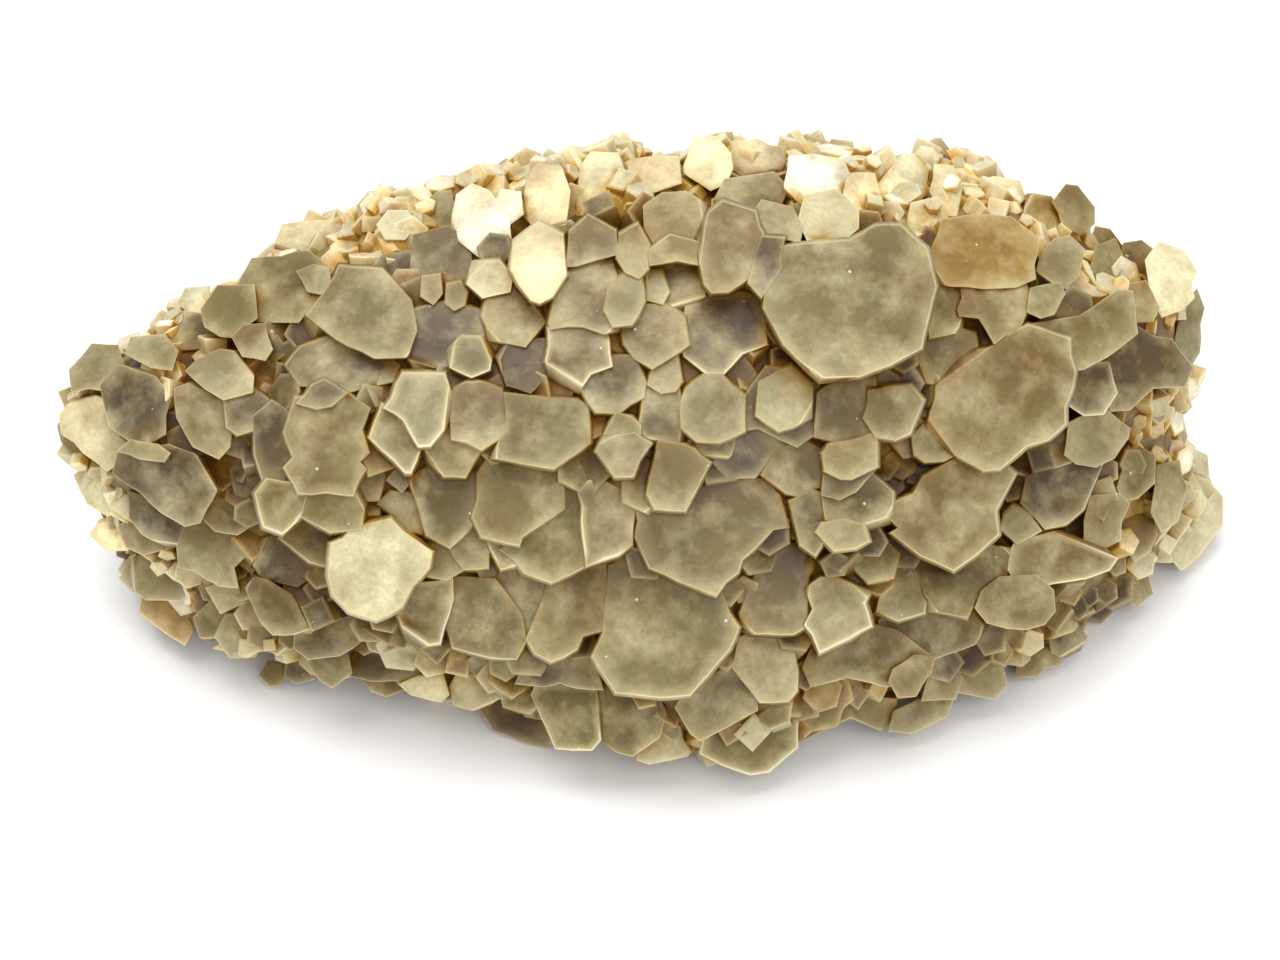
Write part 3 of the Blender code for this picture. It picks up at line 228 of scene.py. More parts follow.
    ("grey", 0.3, -12, ((-66.3, -17), (-66.2, -13.4), (-63, -12), (-59.4, -13.4), (-57.8, -16.8),
     (-59.4, -18.9), (-64, -18.8))),
    ("cream", 0.7, -10, ((-71.4, -10.2), (-70, -8.3), (-67.6, -8), (-66, -9.6), (-66.2, -12.4),
     (-69.2, -12.5))),
    ("grey", 0.2, -12, ((-67.7, -9.2), (-66.2, -8), (-63, -9.4), (-60.4, -12), (-64.5, -13),
     (-66.6, -12))),
    ("cream", 0.5, -14, ((-72.6, -4.4), (-71.8, -1.8), (-69, -1.8), (-66.8, -4.4), (-66.6, -7), (-69, -8),
     (-71.6, -6.4))),
    ("brown", -0.3, -6, ((-66.2, -8.2), (-66.4, -4.6), (-61, -6), (-58.6, -9), (-59.8, -12.2), (-61.6, -12),
     (-64.6, -10.3))),
    ("cream", 0.5, -12, ((-75.3, 5.2), (-73.6, 7.2), (-69.6, 8), (-66.4, 4), (-66.6, -0.6), (-69, -2.2),
     (-72.2, 0.2), (-75, 2.6))),
    ("brown", -0.3, -10, ((-70, 9), (-68, 11.6), (-63.6, 11.4), (-60.6, 7.4), (-61.4, 2.6), (-64.8, 0.6),
     (-68.8, 3.6))),
    ("grey", 0.1, -12, ((-74, 11), (-71, 14.4), (-67.6, 14.2), (-66.4, 11), (-69.4, 8.2), (-73.6, 8))),
    ("brown", -0.3, 2, ((-50.2, -14.2), (-49.6, -11), (-46, -9.8), (-42, -12.6), (-41.4, -15), (-44.6, -17),
     (-49, -16))),
    ("olive", -0.1, 3, ((-51.4, -17), (-50, -15.7), (-48.4, -16), (-45.2, -18), (-43.6, -21),
     (-42.4, -23.2), (-47.7, -23.3), (-49.2, -21.8))),
    ("tan", 0.0, 2, ((-46.8, -10.8), (-44.4, -8.4), (-39.8, -8.6), (-37.6, -12), (-40, -14.6),
     (-43, -13.8))),
    ("grey", 0.3, -4, ((-60.1, -12), (-59, -8.4), (-53.6, -8.4), (-50.5, -12.5), (-52.6, -14.6),
     (-52, -17.3), (-54.6, -17), (-58, -15), (-59.9, -14.6))),
    ("olive", -0.2, 4, ((-56.8, -8.2), (-55.4, -4.4), (-53.2, -4.6), (-51.8, -7), (-50.6, -9.4),
     (-52.2, -10.4), (-55.2, -9.9))),
    ("brown", -0.1, -4, ((-68.4, -2.4), (-67.6, 0.8), (-61, 1.4), (-56.2, -0.4), (-54.6, -4.2), (-57, -8.8),
     (-59, -9.3), (-62, -7.6))),
    ("grey", 0.4, -4, ((-68, 0.4), (-66, 2), (-62.4, 1.4), (-60.8, 0.2), (-61.6, -1), (-65, -0.6))),
    ("grey", 0.3, -8, ((-66.8, 13), (-66, 15.2), (-61.6, 15.6), (-59.8, 13.4), (-60.6, 10.8),
     (-63.4, 11.2))),
    ("mauve", -0.1, 0, ((-60.4, 8.6), (-57.6, 9.6), (-53.4, 7.4), (-52.8, 4), (-53.1, 1), (-54.6, -0.6),
     (-58, 1), (-60.1, 4.8))),
    ("olive", 0.0, 4, ((-54, 7.4), (-50.2, 8.6), (-47.8, 6.8), (-48.2, 5), (-50, 4.6), (-50.2, 3),
     (-52.2, 2.5), (-53.6, 3.6))),
    ("grey", 0.2, 0, ((-59, 10.8), (-57.4, 12.4), (-54.4, 13.7), (-52, 13.4), (-50, 10.4), (-50.2, 8),
     (-54, 7), (-56.5, 8.5))),
    ("olive", 0.1, -4, ((-60.4, 15), (-59, 18.6), (-56.4, 18.2), (-54.2, 15.2), (-55.2, 13.9),
     (-59.6, 13.4))),
    # Middle of the front, left to right.
    ("brown", -0.2, 0, ((-50.2, 5), (-47.8, 7), (-44.8, 5), (-44.8, -0.6), (-46, -4), (-48.6, -4.4),
     (-50, 0))),
    ("tan", 0.2, 0, ((-50, -5), (-48.5, -3), (-44.2, -3.6), (-42.6, -5.4), (-43.5, -8), (-46.4, -10.3),
     (-48.9, -9.3))),
    ("tan", -0.1, 0, ((-44, -8), (-43.2, -4), (-37, -4), (-35.8, -6.4), (-36.2, -9.6), (-40.2, -10))),
    ("brown", -0.3, 4, ((-34.2, -6.4), (-32.4, -4.6), (-29.8, -4.8), (-27.8, -8), (-28, -10.4),
     (-31, -10))),
    ("tan", 0.2, 6, ((-29, -13), (-27.4, -10.6), (-24.6, -10.8), (-22.8, -13.4), (-23.2, -15),
     (-25.2, -16.1), (-28.2, -15.6))),
    ("olive", -0.5, 0, ((-25.2, -11.8), (-24, -9), (-21, -8.6), (-19.6, -11), (-19.8, -14.6),
     (-23, -14.8))),
    ("olive", -0.1, 0, ((-20.6, -10.4), (-18, -8), (-14.4, -10), (-15, -14), (-18.2, -14.8))),
    ("olive", -0.2, 2, ((-30.2, -3.2), (-27.8, -1.4), (-22, -1.4), (-20.6, -5), (-21.8, -9.2), (-24.8, -12),
     (-27.9, -10.4), (-28.6, -7.4))),
    ("frost", 0.9, 3, ((-40.5, -15.6), (-40.2, -11.4), (-37.6, -9.3), (-32.4, -8.1), (-30.8, -9.8),
     (-27, -12.5), (-27.4, -14.6), (-29.6, -17), (-31, -19.6), (-34.2, -21.3), (-37.8, -20.2),
     (-39.9, -18))),
    ("tan", 0.0, -6, ((-18.4, -12.2), (-15.4, -10), (-9.6, -4), (-5.8, -4.6), (-6, -9), (-7.2, -14.4),
     (-11.6, -16.5), (-15.2, -15.2))),
    ("mauve", -0.1, 8, ((-8.4, -4.6), (-7, -3.2), (-5.8, -2.7), (-2.2, -4.6), (-0.8, -7), (-1.2, -11.6),
     (-3, -13), (-7.2, -14.4))),
    ("olive", -0.1, 0, ((-0.9, -10.6), (-1, -6.4), (5.8, -5.4), (8.8, -1.2), (11.3, -2.9), (15.6, -3),
     (17.8, -5), (19, -9.4), (16.8, -9.7), (14.2, -12.4), (12.4, -15.2), (9.6, -18.2), (5, -16.4),
     (1, -14.6))),
    ("brown", -0.7, 0, ((9, -1), (11, 2.6), (15, 5), (18, 3), (18.9, 1.2), (16.6, -1), (14.6, -2.9),
     (11, -3.1))),
    ("olive", -0.6, 4, ((15.4, -2.6), (17.4, 0.6), (21, 2), (24, 0.4), (24.2, -4), (20.6, -5.6),
     (18.6, -5))),
    ("olive", -0.5, 3, ((19, -6), (22, -4.4), (25.4, -6), (25, -9), (22.4, -13), (20.4, -11.6))),
    ("olive", -0.3, 4, ((23.2, -5.2), (26, -4), (29.6, -2.4), (32.4, -4.8), (32.2, -8.6), (28, -9.6),
     (23.6, -8.4))),
    ("grey", 0.1, 0, ((22.4, -10), (23.2, -8.7), (26.2, -8.2), (28.6, -9), (29.3, -11.1), (27.6, -12),
     (24.8, -12.4))),
    ("olive", -0.3, 4, ((23.4, -2.4), (27, -2), (29.8, -2.2), (27.6, -4.7), (25.5, -5.8), (23.2, -5.2))),
    ("mauve", 0.1, 6, ((30.6, -6.7), (35, -4.9), (36.2, -2.8), (41, 0), (45, 0.4), (48.2, -2.4),
     (45.6, -7.2), (46, -10.2), (43.2, -12.8), (40.2, -14.9), (36, -13), (32, -10), (33, -9.4))),
    ("grey", 0.3, 2, ((46.2, -9.6), (46.6, -7.4), (47.8, -6.4), (49.6, -6.7), (51.5, -9.7), (50, -10.6),
     (48.4, -11.5))),
    ("grey", -0.2, 14, ((57, -8.4), (57.8, -5.2), (61.6, -4.8), (63, -6.2), (61.9, -8.8), (61.8, -11),
     (60, -12), (57, -11))),
    ("brown", 0.0, 8, ((48.8, -6.2), (49.5, -2.8), (52, -1.4), (56, -0.4), (59.4, -1.3), (58.2, -4),
     (57, -7), (54.8, -9), (52, -9.6))),
    ("brown", -0.1, 6, ((51.3, -0.8), (52, 1.8), (54.8, 4), (56.4, 1.8), (55.4, -1), (53, -1.8))),
    ("grey", 0.2, 10, ((54.4, 0), (54.9, 4.2), (57, 5.3), (60, 6), (61.5, 4.6), (63, 3.5), (62.8, 2.2),
     (61, -0.4), (58.6, -1.6), (56, -1.2))),
    ("olive", -0.1, 16, ((61.2, -4.2), (62.2, -1), (64.2, 1.2), (66.3, 0), (66.2, -3.6), (64, -5.6),
     (62, -6))),
    ("tan", 0.3, 18, ((65.6, -7.4), (66.4, -1.2), (69.4, -0.6), (70.4, -4), (69.2, -8.6), (67, -10))),
    # The belt of plates above the middle.
    ("olive", -0.2, 0, ((-46, 11.6), (-44, 14), (-39.6, 15.6), (-33, 13), (-31.2, 11.6), (-32, 9.4),
     (-38, 8), (-44.2, 8.8))),
    ("tan", 0.3, 0, ((-46.2, 2.8), (-44.8, 7.4), (-38, 8), (-35, 6), (-36, 3.2), (-35.2, 0.3), (-36.4, -0.9),
     (-35.6, -1.8), (-37.3, -5.3), (-44.3, -5), (-46.2, -1.6), (-45, -0.3))),
    ("brown", -0.3, 0, ((-44.6, 6.6), (-42.6, 9), (-41, 9.7), (-38, 8), (-40, 6.3), (-42, 5.9))),
    ("tan", 0.0, 0, ((-35.3, 2.2), (-33.6, 6.6), (-29.4, 6.4), (-27.6, 2.4), (-29.8, -2.4),
     (-30.6, -2.4))),
    ("tan", 0.2, 4, ((-28.2, 0.8), (-26, 4), (-21.5, 2.6), (-20.8, 0.4), (-22.8, -2.9), (-25.8, -2.8),
     (-27.4, -1))),
    ("mauve", 0.0, 0, ((-25, 6.4), (-24.3, 8.6), (-22, 9.8), (-18, 8.6), (-17.2, 2.8), (-20.7, 0.6),
     (-24.6, 2))),
    ("grey", 0.5, -2, ((-33.4, 6), (-30.9, 10.7), (-25.4, 10.6), (-24.3, 7.2), (-25.3, 3.6), (-27.3, 1.1),
     (-28.9, 1), (-30.8, 4.4))),
    ("tan", 0.4, 0, ((-21.4, -2.4), (-19, 1.4), (-11, 0.8), (-10, -4), (-10, -7), (-15.4, -10.5),
     (-15.8, -11.7), (-20.7, -10.6), (-21.9, -8), (-21.2, -5.8))),
    ("tan", 0.1, 0, ((-19.4, -0.4), (-17.4, 4), (-17.8, 8), (-12, 7.4), (-8.3, 7.4), (-6.9, 6.4),
     (-6.5, 1.5), (-11.4, -1.8))),
    ("olive", -0.4, 2, ((0.2, 9), (4.8, 9.6), (5.6, 3), (5.4, 1), (1.2, 1.2), (-0.6, 3.4))),
    ("olive", -0.4, 0, ((-8, 8.4), (-5, 12.8), (-1, 12.8), (0.6, 9.4), (0.3, 7.4), (-3, 5.2), (-6, 5.4))),
    ("tan", -0.1, 0, ((-4.9, 2.6), (-3.4, 5.4), (-1.4, 5), (-0.2, 3.8), (-0.2, 2.4))),
    ("olive", -0.3, 2, ((5.8, 1.6), (7, 3.6), (11, 3.4), (12, 1.8), (11.5, 0), (10.4, -1), (8.4, -1))),
    ("tan", 0.1, -4, ((-2.6, -2.6), (-2.5, -6.1), (0.8, -7.7), (2.4, -6.6), (2.4, -1.6), (-0.4, 0))),
    ("tan", 0.1, 2, ((0.6, -5), (1.6, -7), (5.6, -7.2), (8.8, -1), (6.6, 1.4), (2, 1.8))),
    ("mauve", 0.3, 0, ((-5.9, 0.4), (-4.7, 2.9), (-1, 2.9), (1.2, 1.4), (-1.1, -2.8), (-3.5, -2.9),
     (-4.3, -1.8))),
    ("brown", -0.5, 2, ((12.8, 3), (13.2, 7.6), (16, 11.4), (21, 11), (24, 8), (24, 3), (20, 1),
     (15, 3.4))),
    ("olive", -0.2, 2, ((22.2, 2.4), (22.6, 8.4), (25.6, 10.2), (30, 10.2), (31, 4), (27.6, 0.6))),
    ("grey", 0.2, 2, ((23.2, 0.2), (24, 1.4), (27.2, 2), (30.3, 3.2), (30.3, -1.5), (27, -3.1),
     (25.6, -3.1), (23.5, -2.1))),
    ("mauve", 0.1, 0, ((28.5, 4.8), (29.1, 8.7), (34.6, 9.1), (36.3, 7), (34.6, 2.8), (32.6, 1.9),
     (30.1, 2.3))),
    ("tan", 0.0, 0, ((34.7, 2.5), (35, 0), (36.4, -1), (39, -0.8), (42, 0.4), (40, 3.6), (36.6, 4.4))),
    ("mauve", -0.1, 2, ((35.2, 13), (36.8, 15.7), (39.2, 17), (43, 15.8), (43.6, 12), (40, 9),
     (36.6, 9.2))),
    ("brown", -0.3, 8, ((54.6, 6.6), (55.4, 12.4), (60, 13), (61.4, 8), (59.6, 5.2), (57, 5))),
    ("brown", -0.2, 12, ((59.5, 8), (60, 13), (64, 16.6), (68.4, 15), (71.2, 11.2), (70, 8.8), (66, 8.6),
     (63, 5.8), (60.4, 5.6))),
    ("tan", 0.1, 0, ((36.8, 4), (37.2, 2.8), (40, 0.2), (44, -2), (46.2, -1.8), (49.6, 1.2), (52.4, 2),
     (54.6, 4), (55.9, 10.8), (55.2, 15), (49.6, 16.8), (41.4, 12.6), (37.8, 9))),
    ("tan", 0.2, 6, ((47.4, 14.6), (50, 17), (56.4, 18), (61.3, 21.4), (63.3, 21.2), (64, 15.7), (60, 12.6),
     (57, 11), (55.6, 10.9), (51, 13))),
    ("brown", -0.2, 0, ((-18.8, 12.6), (-17.6, 14.6), (-12.4, 15), (-12, 10.4), (-14.4, 8), (-17.4, 9))),
    ("mauve", -0.1, 0, ((-12.5, 12), (-12.2, 16.4), (-8.6, 18), (-4.4, 16.4), (-3.8, 11.4), (-6.6, 10.4),
     (-8.1, 8.2), (-11.8, 10.3))),
    ("mauve", -0.1, 2, ((0.6, 9), (1.4, 12), (4.6, 13.4), (5.2, 9.4), (4.4, 8.2), (2.4, 7.9))),
    ("brown", -0.2, 2, ((4.9, 15), (5.6, 20.2), (7.6, 21.6), (14.8, 20.8), (16, 18), (16.2, 14.2), (13, 13),
     (10.4, 10.2), (8.4, 10.3), (5.3, 12.7))),
    ("grey", 0.1, 0, ((4.9, 6.8), (5.6, 8.6), (8, 10.4), (10.3, 10.4), (13.3, 7.7), (13.2, 3), (10, 1.6),
     (7, 1.7), (5, 3.4))),
    ("grey", 0.6, 0, ((14.6, 5), (15, 9.4), (19.3, 11.7), (22, 9.2), (21.8, 4.8), (19.6, 3.6), (17.6, 3))),
    # Upper belt.
    ("mauve", -0.2, -4, ((-53, 15.2), (-51.4, 16.8), (-48.6, 17), (-47.6, 13.6), (-48.6, 12.1),
     (-51.6, 12.6))),
    ("tan", 0.0, -6, ((-57, 18.8), (-56.5, 16.5), (-54.5, 15.2), (-52.6, 15), (-49.6, 17.6), (-50, 22),
     (-54.8, 21.9))),
    ("tan", 0.1, -4, ((-52.4, 21.7), (-50.4, 17.1), (-44.3, 17), (-41.4, 20.6), (-40, 24), (-43, 26.4),
     (-50.4, 25.4))),
    ("brown", -0.3, 2, ((-30.6, 13), (-30, 18.6), (-24.8, 20), (-20.2, 18.6), (-19.6, 14), (-24.8, 11.4),
     (-29.2, 11))),
    ("tan", 0.2, 4, ((-25.2, 13.4), (-23.4, 15.4), (-20, 15.4), (-19.2, 13.4), (-19.6, 10.9), (-22, 9.9),
     (-24.8, 11.2))),
    ("tan", -0.1, 0, ((-43.4, 18), (-42, 16.8), (-39.5, 14.9), (-34.6, 12.4), (-30.2, 12.5), (-29, 16),
     (-29.8, 20), (-33.5, 24), (-39, 24.4), (-41, 21))),
    ("grey", 0.3, 0, ((-44.7, 23.7), (-43.2, 21), (-41.3, 20.6), (-40.1, 22), (-40.3, 24.2),
     (-42.4, 24.6))),
    ("tan", 0.2, 0, ((-20.7, 18), (-19.7, 14.9), (-15, 13.9), (-12.4, 17), (-11.7, 19), (-13, 21.4),
     (-19.6, 22))),
    ("mauve", -0.1, 0, ((-12, 17), (-11.4, 20.6), (-9.4, 24.6), (-4, 25.6), (-2.6, 21), (-3, 16),
     (-5, 15.6), (-7.6, 16.5), (-11.7, 16.2))),
    ("brown", -0.6, 0, ((-0.4, 20), (0.6, 25.2), (4, 26.4), (8.2, 24.2), (8.2, 20.4), (4.4, 18.4))),
    ("mauve", 0.1, 0, ((-2.7, 16), (-1, 19.4), (3, 19.6), (5.5, 17.9), (6.1, 14.2), (1.3, 11.1), (-1, 12.4),
     (-2.4, 14.3))),
    ("grey", 0.5, 0, ((-4.9, 18.6), (-4.3, 22.6), (-2.8, 24), (0, 23), (0.3, 19.8), (-0.6, 17.8),
     (-1.3, 16.8), (-3.8, 16.5))),
    ("grey", 0.4, 2, ((0.3, 23.8), (2.6, 24), (3.6, 21), (2.7, 19.4), (0.5, 20))),
    ("honey", -0.3, 2, ((-3.4, 25.4), (-3, 28.4), (-0.6, 29.8), (1, 27), (0.9, 24), (-0.4, 22.7),
     (-2.2, 23.5))),
    ("mauve", 0.2, -2, ((-9.9, 24.2), (-9.4, 28.8), (-7, 31), (-3.4, 29), (-2.4, 26), (-5.9, 25.1),
     (-8.4, 24.3))),
    ("cream", 0.5, 0, ((-17, 24), (-16.6, 27.4), (-13.4, 30), (-10.2, 28.4), (-9.7, 23.2), (-11.6, 20.3),
     (-13.2, 19.5), (-14.4, 19.9), (-16, 22))),
    ("frost", 0.4, 0, ((-22.6, 22), (-21.8, 24.8), (-18.4, 25.2), (-16.6, 23), (-17, 21), (-20.6, 20.2))),
    ("mauve", 0.2, 0, ((-28.6, 20.4), (-28.4, 23), (-26, 23.4), (-25.7, 20.8), (-26.9, 19.3))),
    ("tan", 0.1, 2, ((-25.4, 19.5), (-25.2, 22), (-23.4, 22.4), (-22.4, 21), (-22.8, 19.3),
     (-24.2, 18.6))),
    ("honey", -0.2, 2, ((1, 24.4), (0.8, 26.4), (3.6, 28.4), (8, 27.4), (8.4, 24.2), (4.6, 25))),
    ("honey", 0.0, 0, ((0.2, 29.2), (0.1, 32.2), (2.6, 33.9), (5.6, 34.1), (8.4, 32.4), (8.8, 29.6),
     (7.1, 26.5), (1.8, 26.2))),
    ("mauve", 0.2, 2, ((6.9, 27.2), (8, 22), (9, 20.9), (11.2, 21), (13.8, 22.7), (15.7, 25.6), (15.9, 28),
     (14.6, 31.4), (10.4, 32.8), (8.6, 31.2))),
    ("brown", -0.3, 4, ((13.6, 22.2), (15.4, 20.2), (18, 24), (18.4, 28), (15.4, 28.2))),
    ("grey", 0.3, 2, ((14.2, 31.4), (15.4, 33), (19.4, 32), (20.8, 29.4), (20.4, 27.3), (15.4, 28.1))),
    ("frost", 0.5, 4, ((20, 30), (21, 33.6), (25, 34.4), (28, 31.6), (28, 29.2), (25, 26.8),
     (21.6, 26.9))),
    ("tan", -0.2, 6, ((36.4, 20), (37, 15), (41.4, 16), (42, 21.4), (38.6, 22.4))),
    ("mauve", 0.1, 4, ((40.6, 18.8), (41, 21.8), (45, 22.8), (49.6, 22), (50.3, 19.8), (48.8, 16.4),
     (45.4, 14.3), (43.4, 17.6), (40.9, 17.9))),
    ("tan", 0.0, 6, ((49.6, 18.4), (50, 21.6), (54, 22.4), (54.6, 20.8), (53.2, 18.1), (51.4, 17.6))),
    ("honey", 0.1, 2, ((36.8, 25), (38.6, 30.4), (43, 31.2), (47.6, 30.8), (51.2, 28), (50.8, 22.7),
     (48.3, 21.6), (44, 21.4), (38.2, 21.9))),
    ("tan", 0.2, 0, ((15.6, 19), (15.7, 21), (17.4, 26.9), (26.8, 27.7), (30, 29.6), (33.2, 29.7),
     (36.7, 26.6), (37.9, 21.8), (36, 13.8), (32, 11.6), (28.2, 10.2), (23, 9.6), (18.2, 14.2))),
    ("grey", 0.4, 4, ((50.7, 23.4), (51.4, 26.2), (53.2, 28), (55.2, 28.4), (57.1, 26.6), (56.4, 23.2),
     (54.8, 21.4), (52.4, 22))),
    ("tan", 0.1, 8, ((57.4, 22.6), (58.4, 27), (61, 28), (62.2, 25.4), (61.6, 22.6), (59.4, 21.4))),
    ("cream", 0.4, 10, ((64.8, 25.2), (66.6, 27.6), (70, 26.3), (71.6, 23.6), (71.3, 20.3), (69.8, 18.7),
     (67, 17.7), (65.4, 21))),
)


def linear(hex_colour: str) -> tuple[float, float, float]:
    """Turn an sRGB hex colour into linear light.

    Args:
        hex_colour: Six hex digits.

    Returns:
        Linear red, green and blue.
    """
    channels = (int(hex_colour[n : n + 2], 16) / 255 for n in (0, 2, 4))
    return tuple(c / 12.92 if c <= 0.04045 else ((c + 0.055) / 1.055) ** 2.4 for c in channels)


def middle(outline: Sequence[Corner]) -> Corner:
    """The mean of an outline's corners."""
    return tuple(sum(corner[axis] for corner in outline) / len(outline) for axis in (0, 1))


def covers(outline: Sequence[Corner], point: Corner) -> bool:
    """Whether a point lies inside an outline, seen along the line of sight."""
    hub = middle(outline)
    return any(intersect_point_tri_2d(point, hub, outline[n - 1], outline[n]) for n in range(len(outline)))


@dataclass(frozen=True)
class Sight:
    """The line of sight that the outlines are laid out on, in millimetres."""

    elevation: float = 38.0
    eye_distance: float = 400.0
    table_drop: float = 32.9
    shift: Corner = (-1.69, -10.45)

    @property
    def across(self) -> tuple[Vector, Vector, Vector]:
        """The directions of u, v and depth in space."""
        slope = math.radians(self.elevation)
        return (
            Vector((1, 0, 0)),
            Vector((0, math.sin(slope), math.cos(slope))),
            Vector((0, -math.cos(slope), math.sin(slope))),
        )

    @property
    def middle(self) -> Vector:
        """The point in space that the line of sight passes through."""
        return Vector((*self.shift, self.table_drop))

    def point(self, u: float, v: float, w: float) -> Vector:
        """The point in space that is seen at (u, v) when it lies at depth w."""
        right, up, out = self.across
        spread = (self.eye_distance - w) / self.eye_distance
        return self.middle + right * u * spread + up * v * spread + out * w

    def layout(self, point: Vector) -> tuple[float, float, float]:
        """Where a point in space is seen, and its depth."""
        right, up, out = self.across
        offset = point - self.middle
        w = offset.dot(out)
        spread = (self.eye_distance - w) / self.eye_distance
        return offset.dot(right) / spread, offset.dot(up) / spread, w

    def eye(self) -> Vector:
        """Where the camera stands."""
        return self.middle + self.across[2] * self.eye_distance


SIGHT = Sight()


@dataclass
class Mass:
    """The lumpy mass that the crystals stand on, before any crystal."""

    front_bulge: float = 19.0
    back_bulge: float = 38.0
    fullness: float = 0.8
    settle_below: float = 10.0
    settle_share: float = 0.6
    marks: list[tuple[float, float, float]] = field(init=False)

    def __post_init__(self) -> None:
        """Turn the rim's points into directions, radii and depths."""
        self.marks = sorted((math.atan2(v, u), math.hypot(u, v), w) for u, v, w in RIM)

    def rim_at(self, angle: float) -> Corner:
        """The rim's radius and depth in one direction."""
        after = next((n for n, mark in enumerate(self.marks) if mark[0] > angle), 0)
        a, b = self.marks[after - 1], self.marks[after]
        share = ((angle - a[0]) % math.tau) / ((b[0] - a[0]) % math.tau)
        return a[1] + share * (b[1] - a[1]), a[2] + share * (b[2] - a[2])

    def reach(self, u: float, v: float) -> float:
        """How far out towards the rim a place lies, from 0 to 1."""
        return math.hypot(u, v) / self.rim_at(math.atan2(v, u))[0]

    def ground(self, u: float, v: float) -> float:
        """How far forward the front of the bare mass lies."""
        depth = self.rim_at(math.atan2(v, u))[1]
        inside = max(0.0, 1.0 - self.reach(u, v) ** 2)
        return depth * (1.0 - inside) + self.front_bulge * inside ** (self.fullness / 2)

    def surface(self, direction: Vector) -> Vector:
        """A unit direction laid onto the mass, in millimetres.

        Args:
            direction: Its x and y go round the rim, and its z is front or back.

        Returns:
            The point on the mass, with the underside drawn up to the table.
        """
        across = math.hypot(direction.x, direction.y)
        radius, depth = self.rim_at(math.atan2(direction.y, direction.x))
        full = math.copysign(abs(direction.z) ** self.fullness, direction.z)
        if full > 0:
            bulge = self.front_bulge * full
        else:
            bulge = self.back_bulge * full - depth * across**2 * full * 0.4
        point = SIGHT.point(radius * direction.x, radius * direction.y, depth * across**2 + bulge)
        if point.z < self.settle_below:
            point.z = self.settle_below - self.settle_share * (self.settle_below - point.z)
        return point

    def build(self) -> bpy.types.Object:
        """Add the mass as a ball that is pressed into shape."""
        bpy.ops.mesh.primitive_ico_sphere_add(subdivisions=5, radius=1.0)
        piece = bpy.context.object
        for vert in piece.data.vertices:
            vert.co = self.surface(vert.co.normalized()) * MM
        return piece


MASS = Mass()


def paint_growth(mesh: bpy.types.Mesh, tints: Sequence[Sequence[float]], edge: Sequence[float]) -> None:
    """Write each point's colour, and how close it is to a crystal edge, on a mesh.

    Args:
        mesh: The mesh.
        tints: For each vertex, its colour in linear light.
        edge: For each vertex, 1 on an edge and 0 away from it; the material paints a pale glow of light and a
            bright line of light along the rim by it.
    """
    layer = mesh.attributes.new("growth", "FLOAT_COLOR", "CORNER")
    corners = np.zeros(len(mesh.loops), np.int32)
    mesh.loops.foreach_get("vertex_index", corners)
    points = np.column_stack((np.asarray(tints, np.float32), np.asarray(edge, np.float32)))
    layer.data.foreach_set("color", points[corners].ravel())


def shaded(tint: Tint, tone: float, rng: random.Random) -> tuple[float, float, float]:
    """A crystal's colour: its tint made lighter or darker by its tone, with a little chance in it. The tone is
    partly the crystal's own and partly painted light and shade: higher where a tabular crystal leans back to the
    light or a fine crystal sits on the upward-facing crest, lower in the hollows.
    """
    # Painted light and shade in part: a higher tone lightens the colour, a lower one darkens it.
    gain = (1.0 + 0.3 * tone) * rng.uniform(0.84, 1.14)
    warm = rng.uniform(-0.07, 0.05)
    r, g, b = linear(tint.value)
    return r * gain * (1 + warm), g * gain, b * gain * (1 - warm)


def select_faces(piece: bpy.types.Object, wanted: Callable[[bmesh.types.BMFace], bool]) -> None:
    """Select the faces of a piece in edit mode that pass a test, and nothing else."""
    bpy.ops.mesh.select_all(action="DESELECT")
    bpy.ops.mesh.select_mode(type="FACE")
    shape = bmesh.from_edit_mesh(piece.data)
    for face in shape.faces:
        face.select_set(wanted(face))
    bmesh.update_edit_mesh(piece.data)


def select_edges(piece: bpy.types.Object, wanted: Callable[[bmesh.types.BMEdge], bool]) -> None:
    """Select the edges of a piece in edit mode that pass a test, and nothing else."""
    bpy.ops.mesh.select_all(action="DESELECT")
    bpy.ops.mesh.select_mode(type="EDGE")
    shape = bmesh.from_edit_mesh(piece.data)
    for edge in shape.edges:
        edge.select_set(wanted(edge))
    bmesh.update_edit_mesh(piece.data)


def is_crease(edge: bmesh.types.BMEdge, least: float = math.radians(15)) -> bool:
    """Whether a surface turns sharply over an edge."""
    return edge.calc_face_angle(0.0) > least


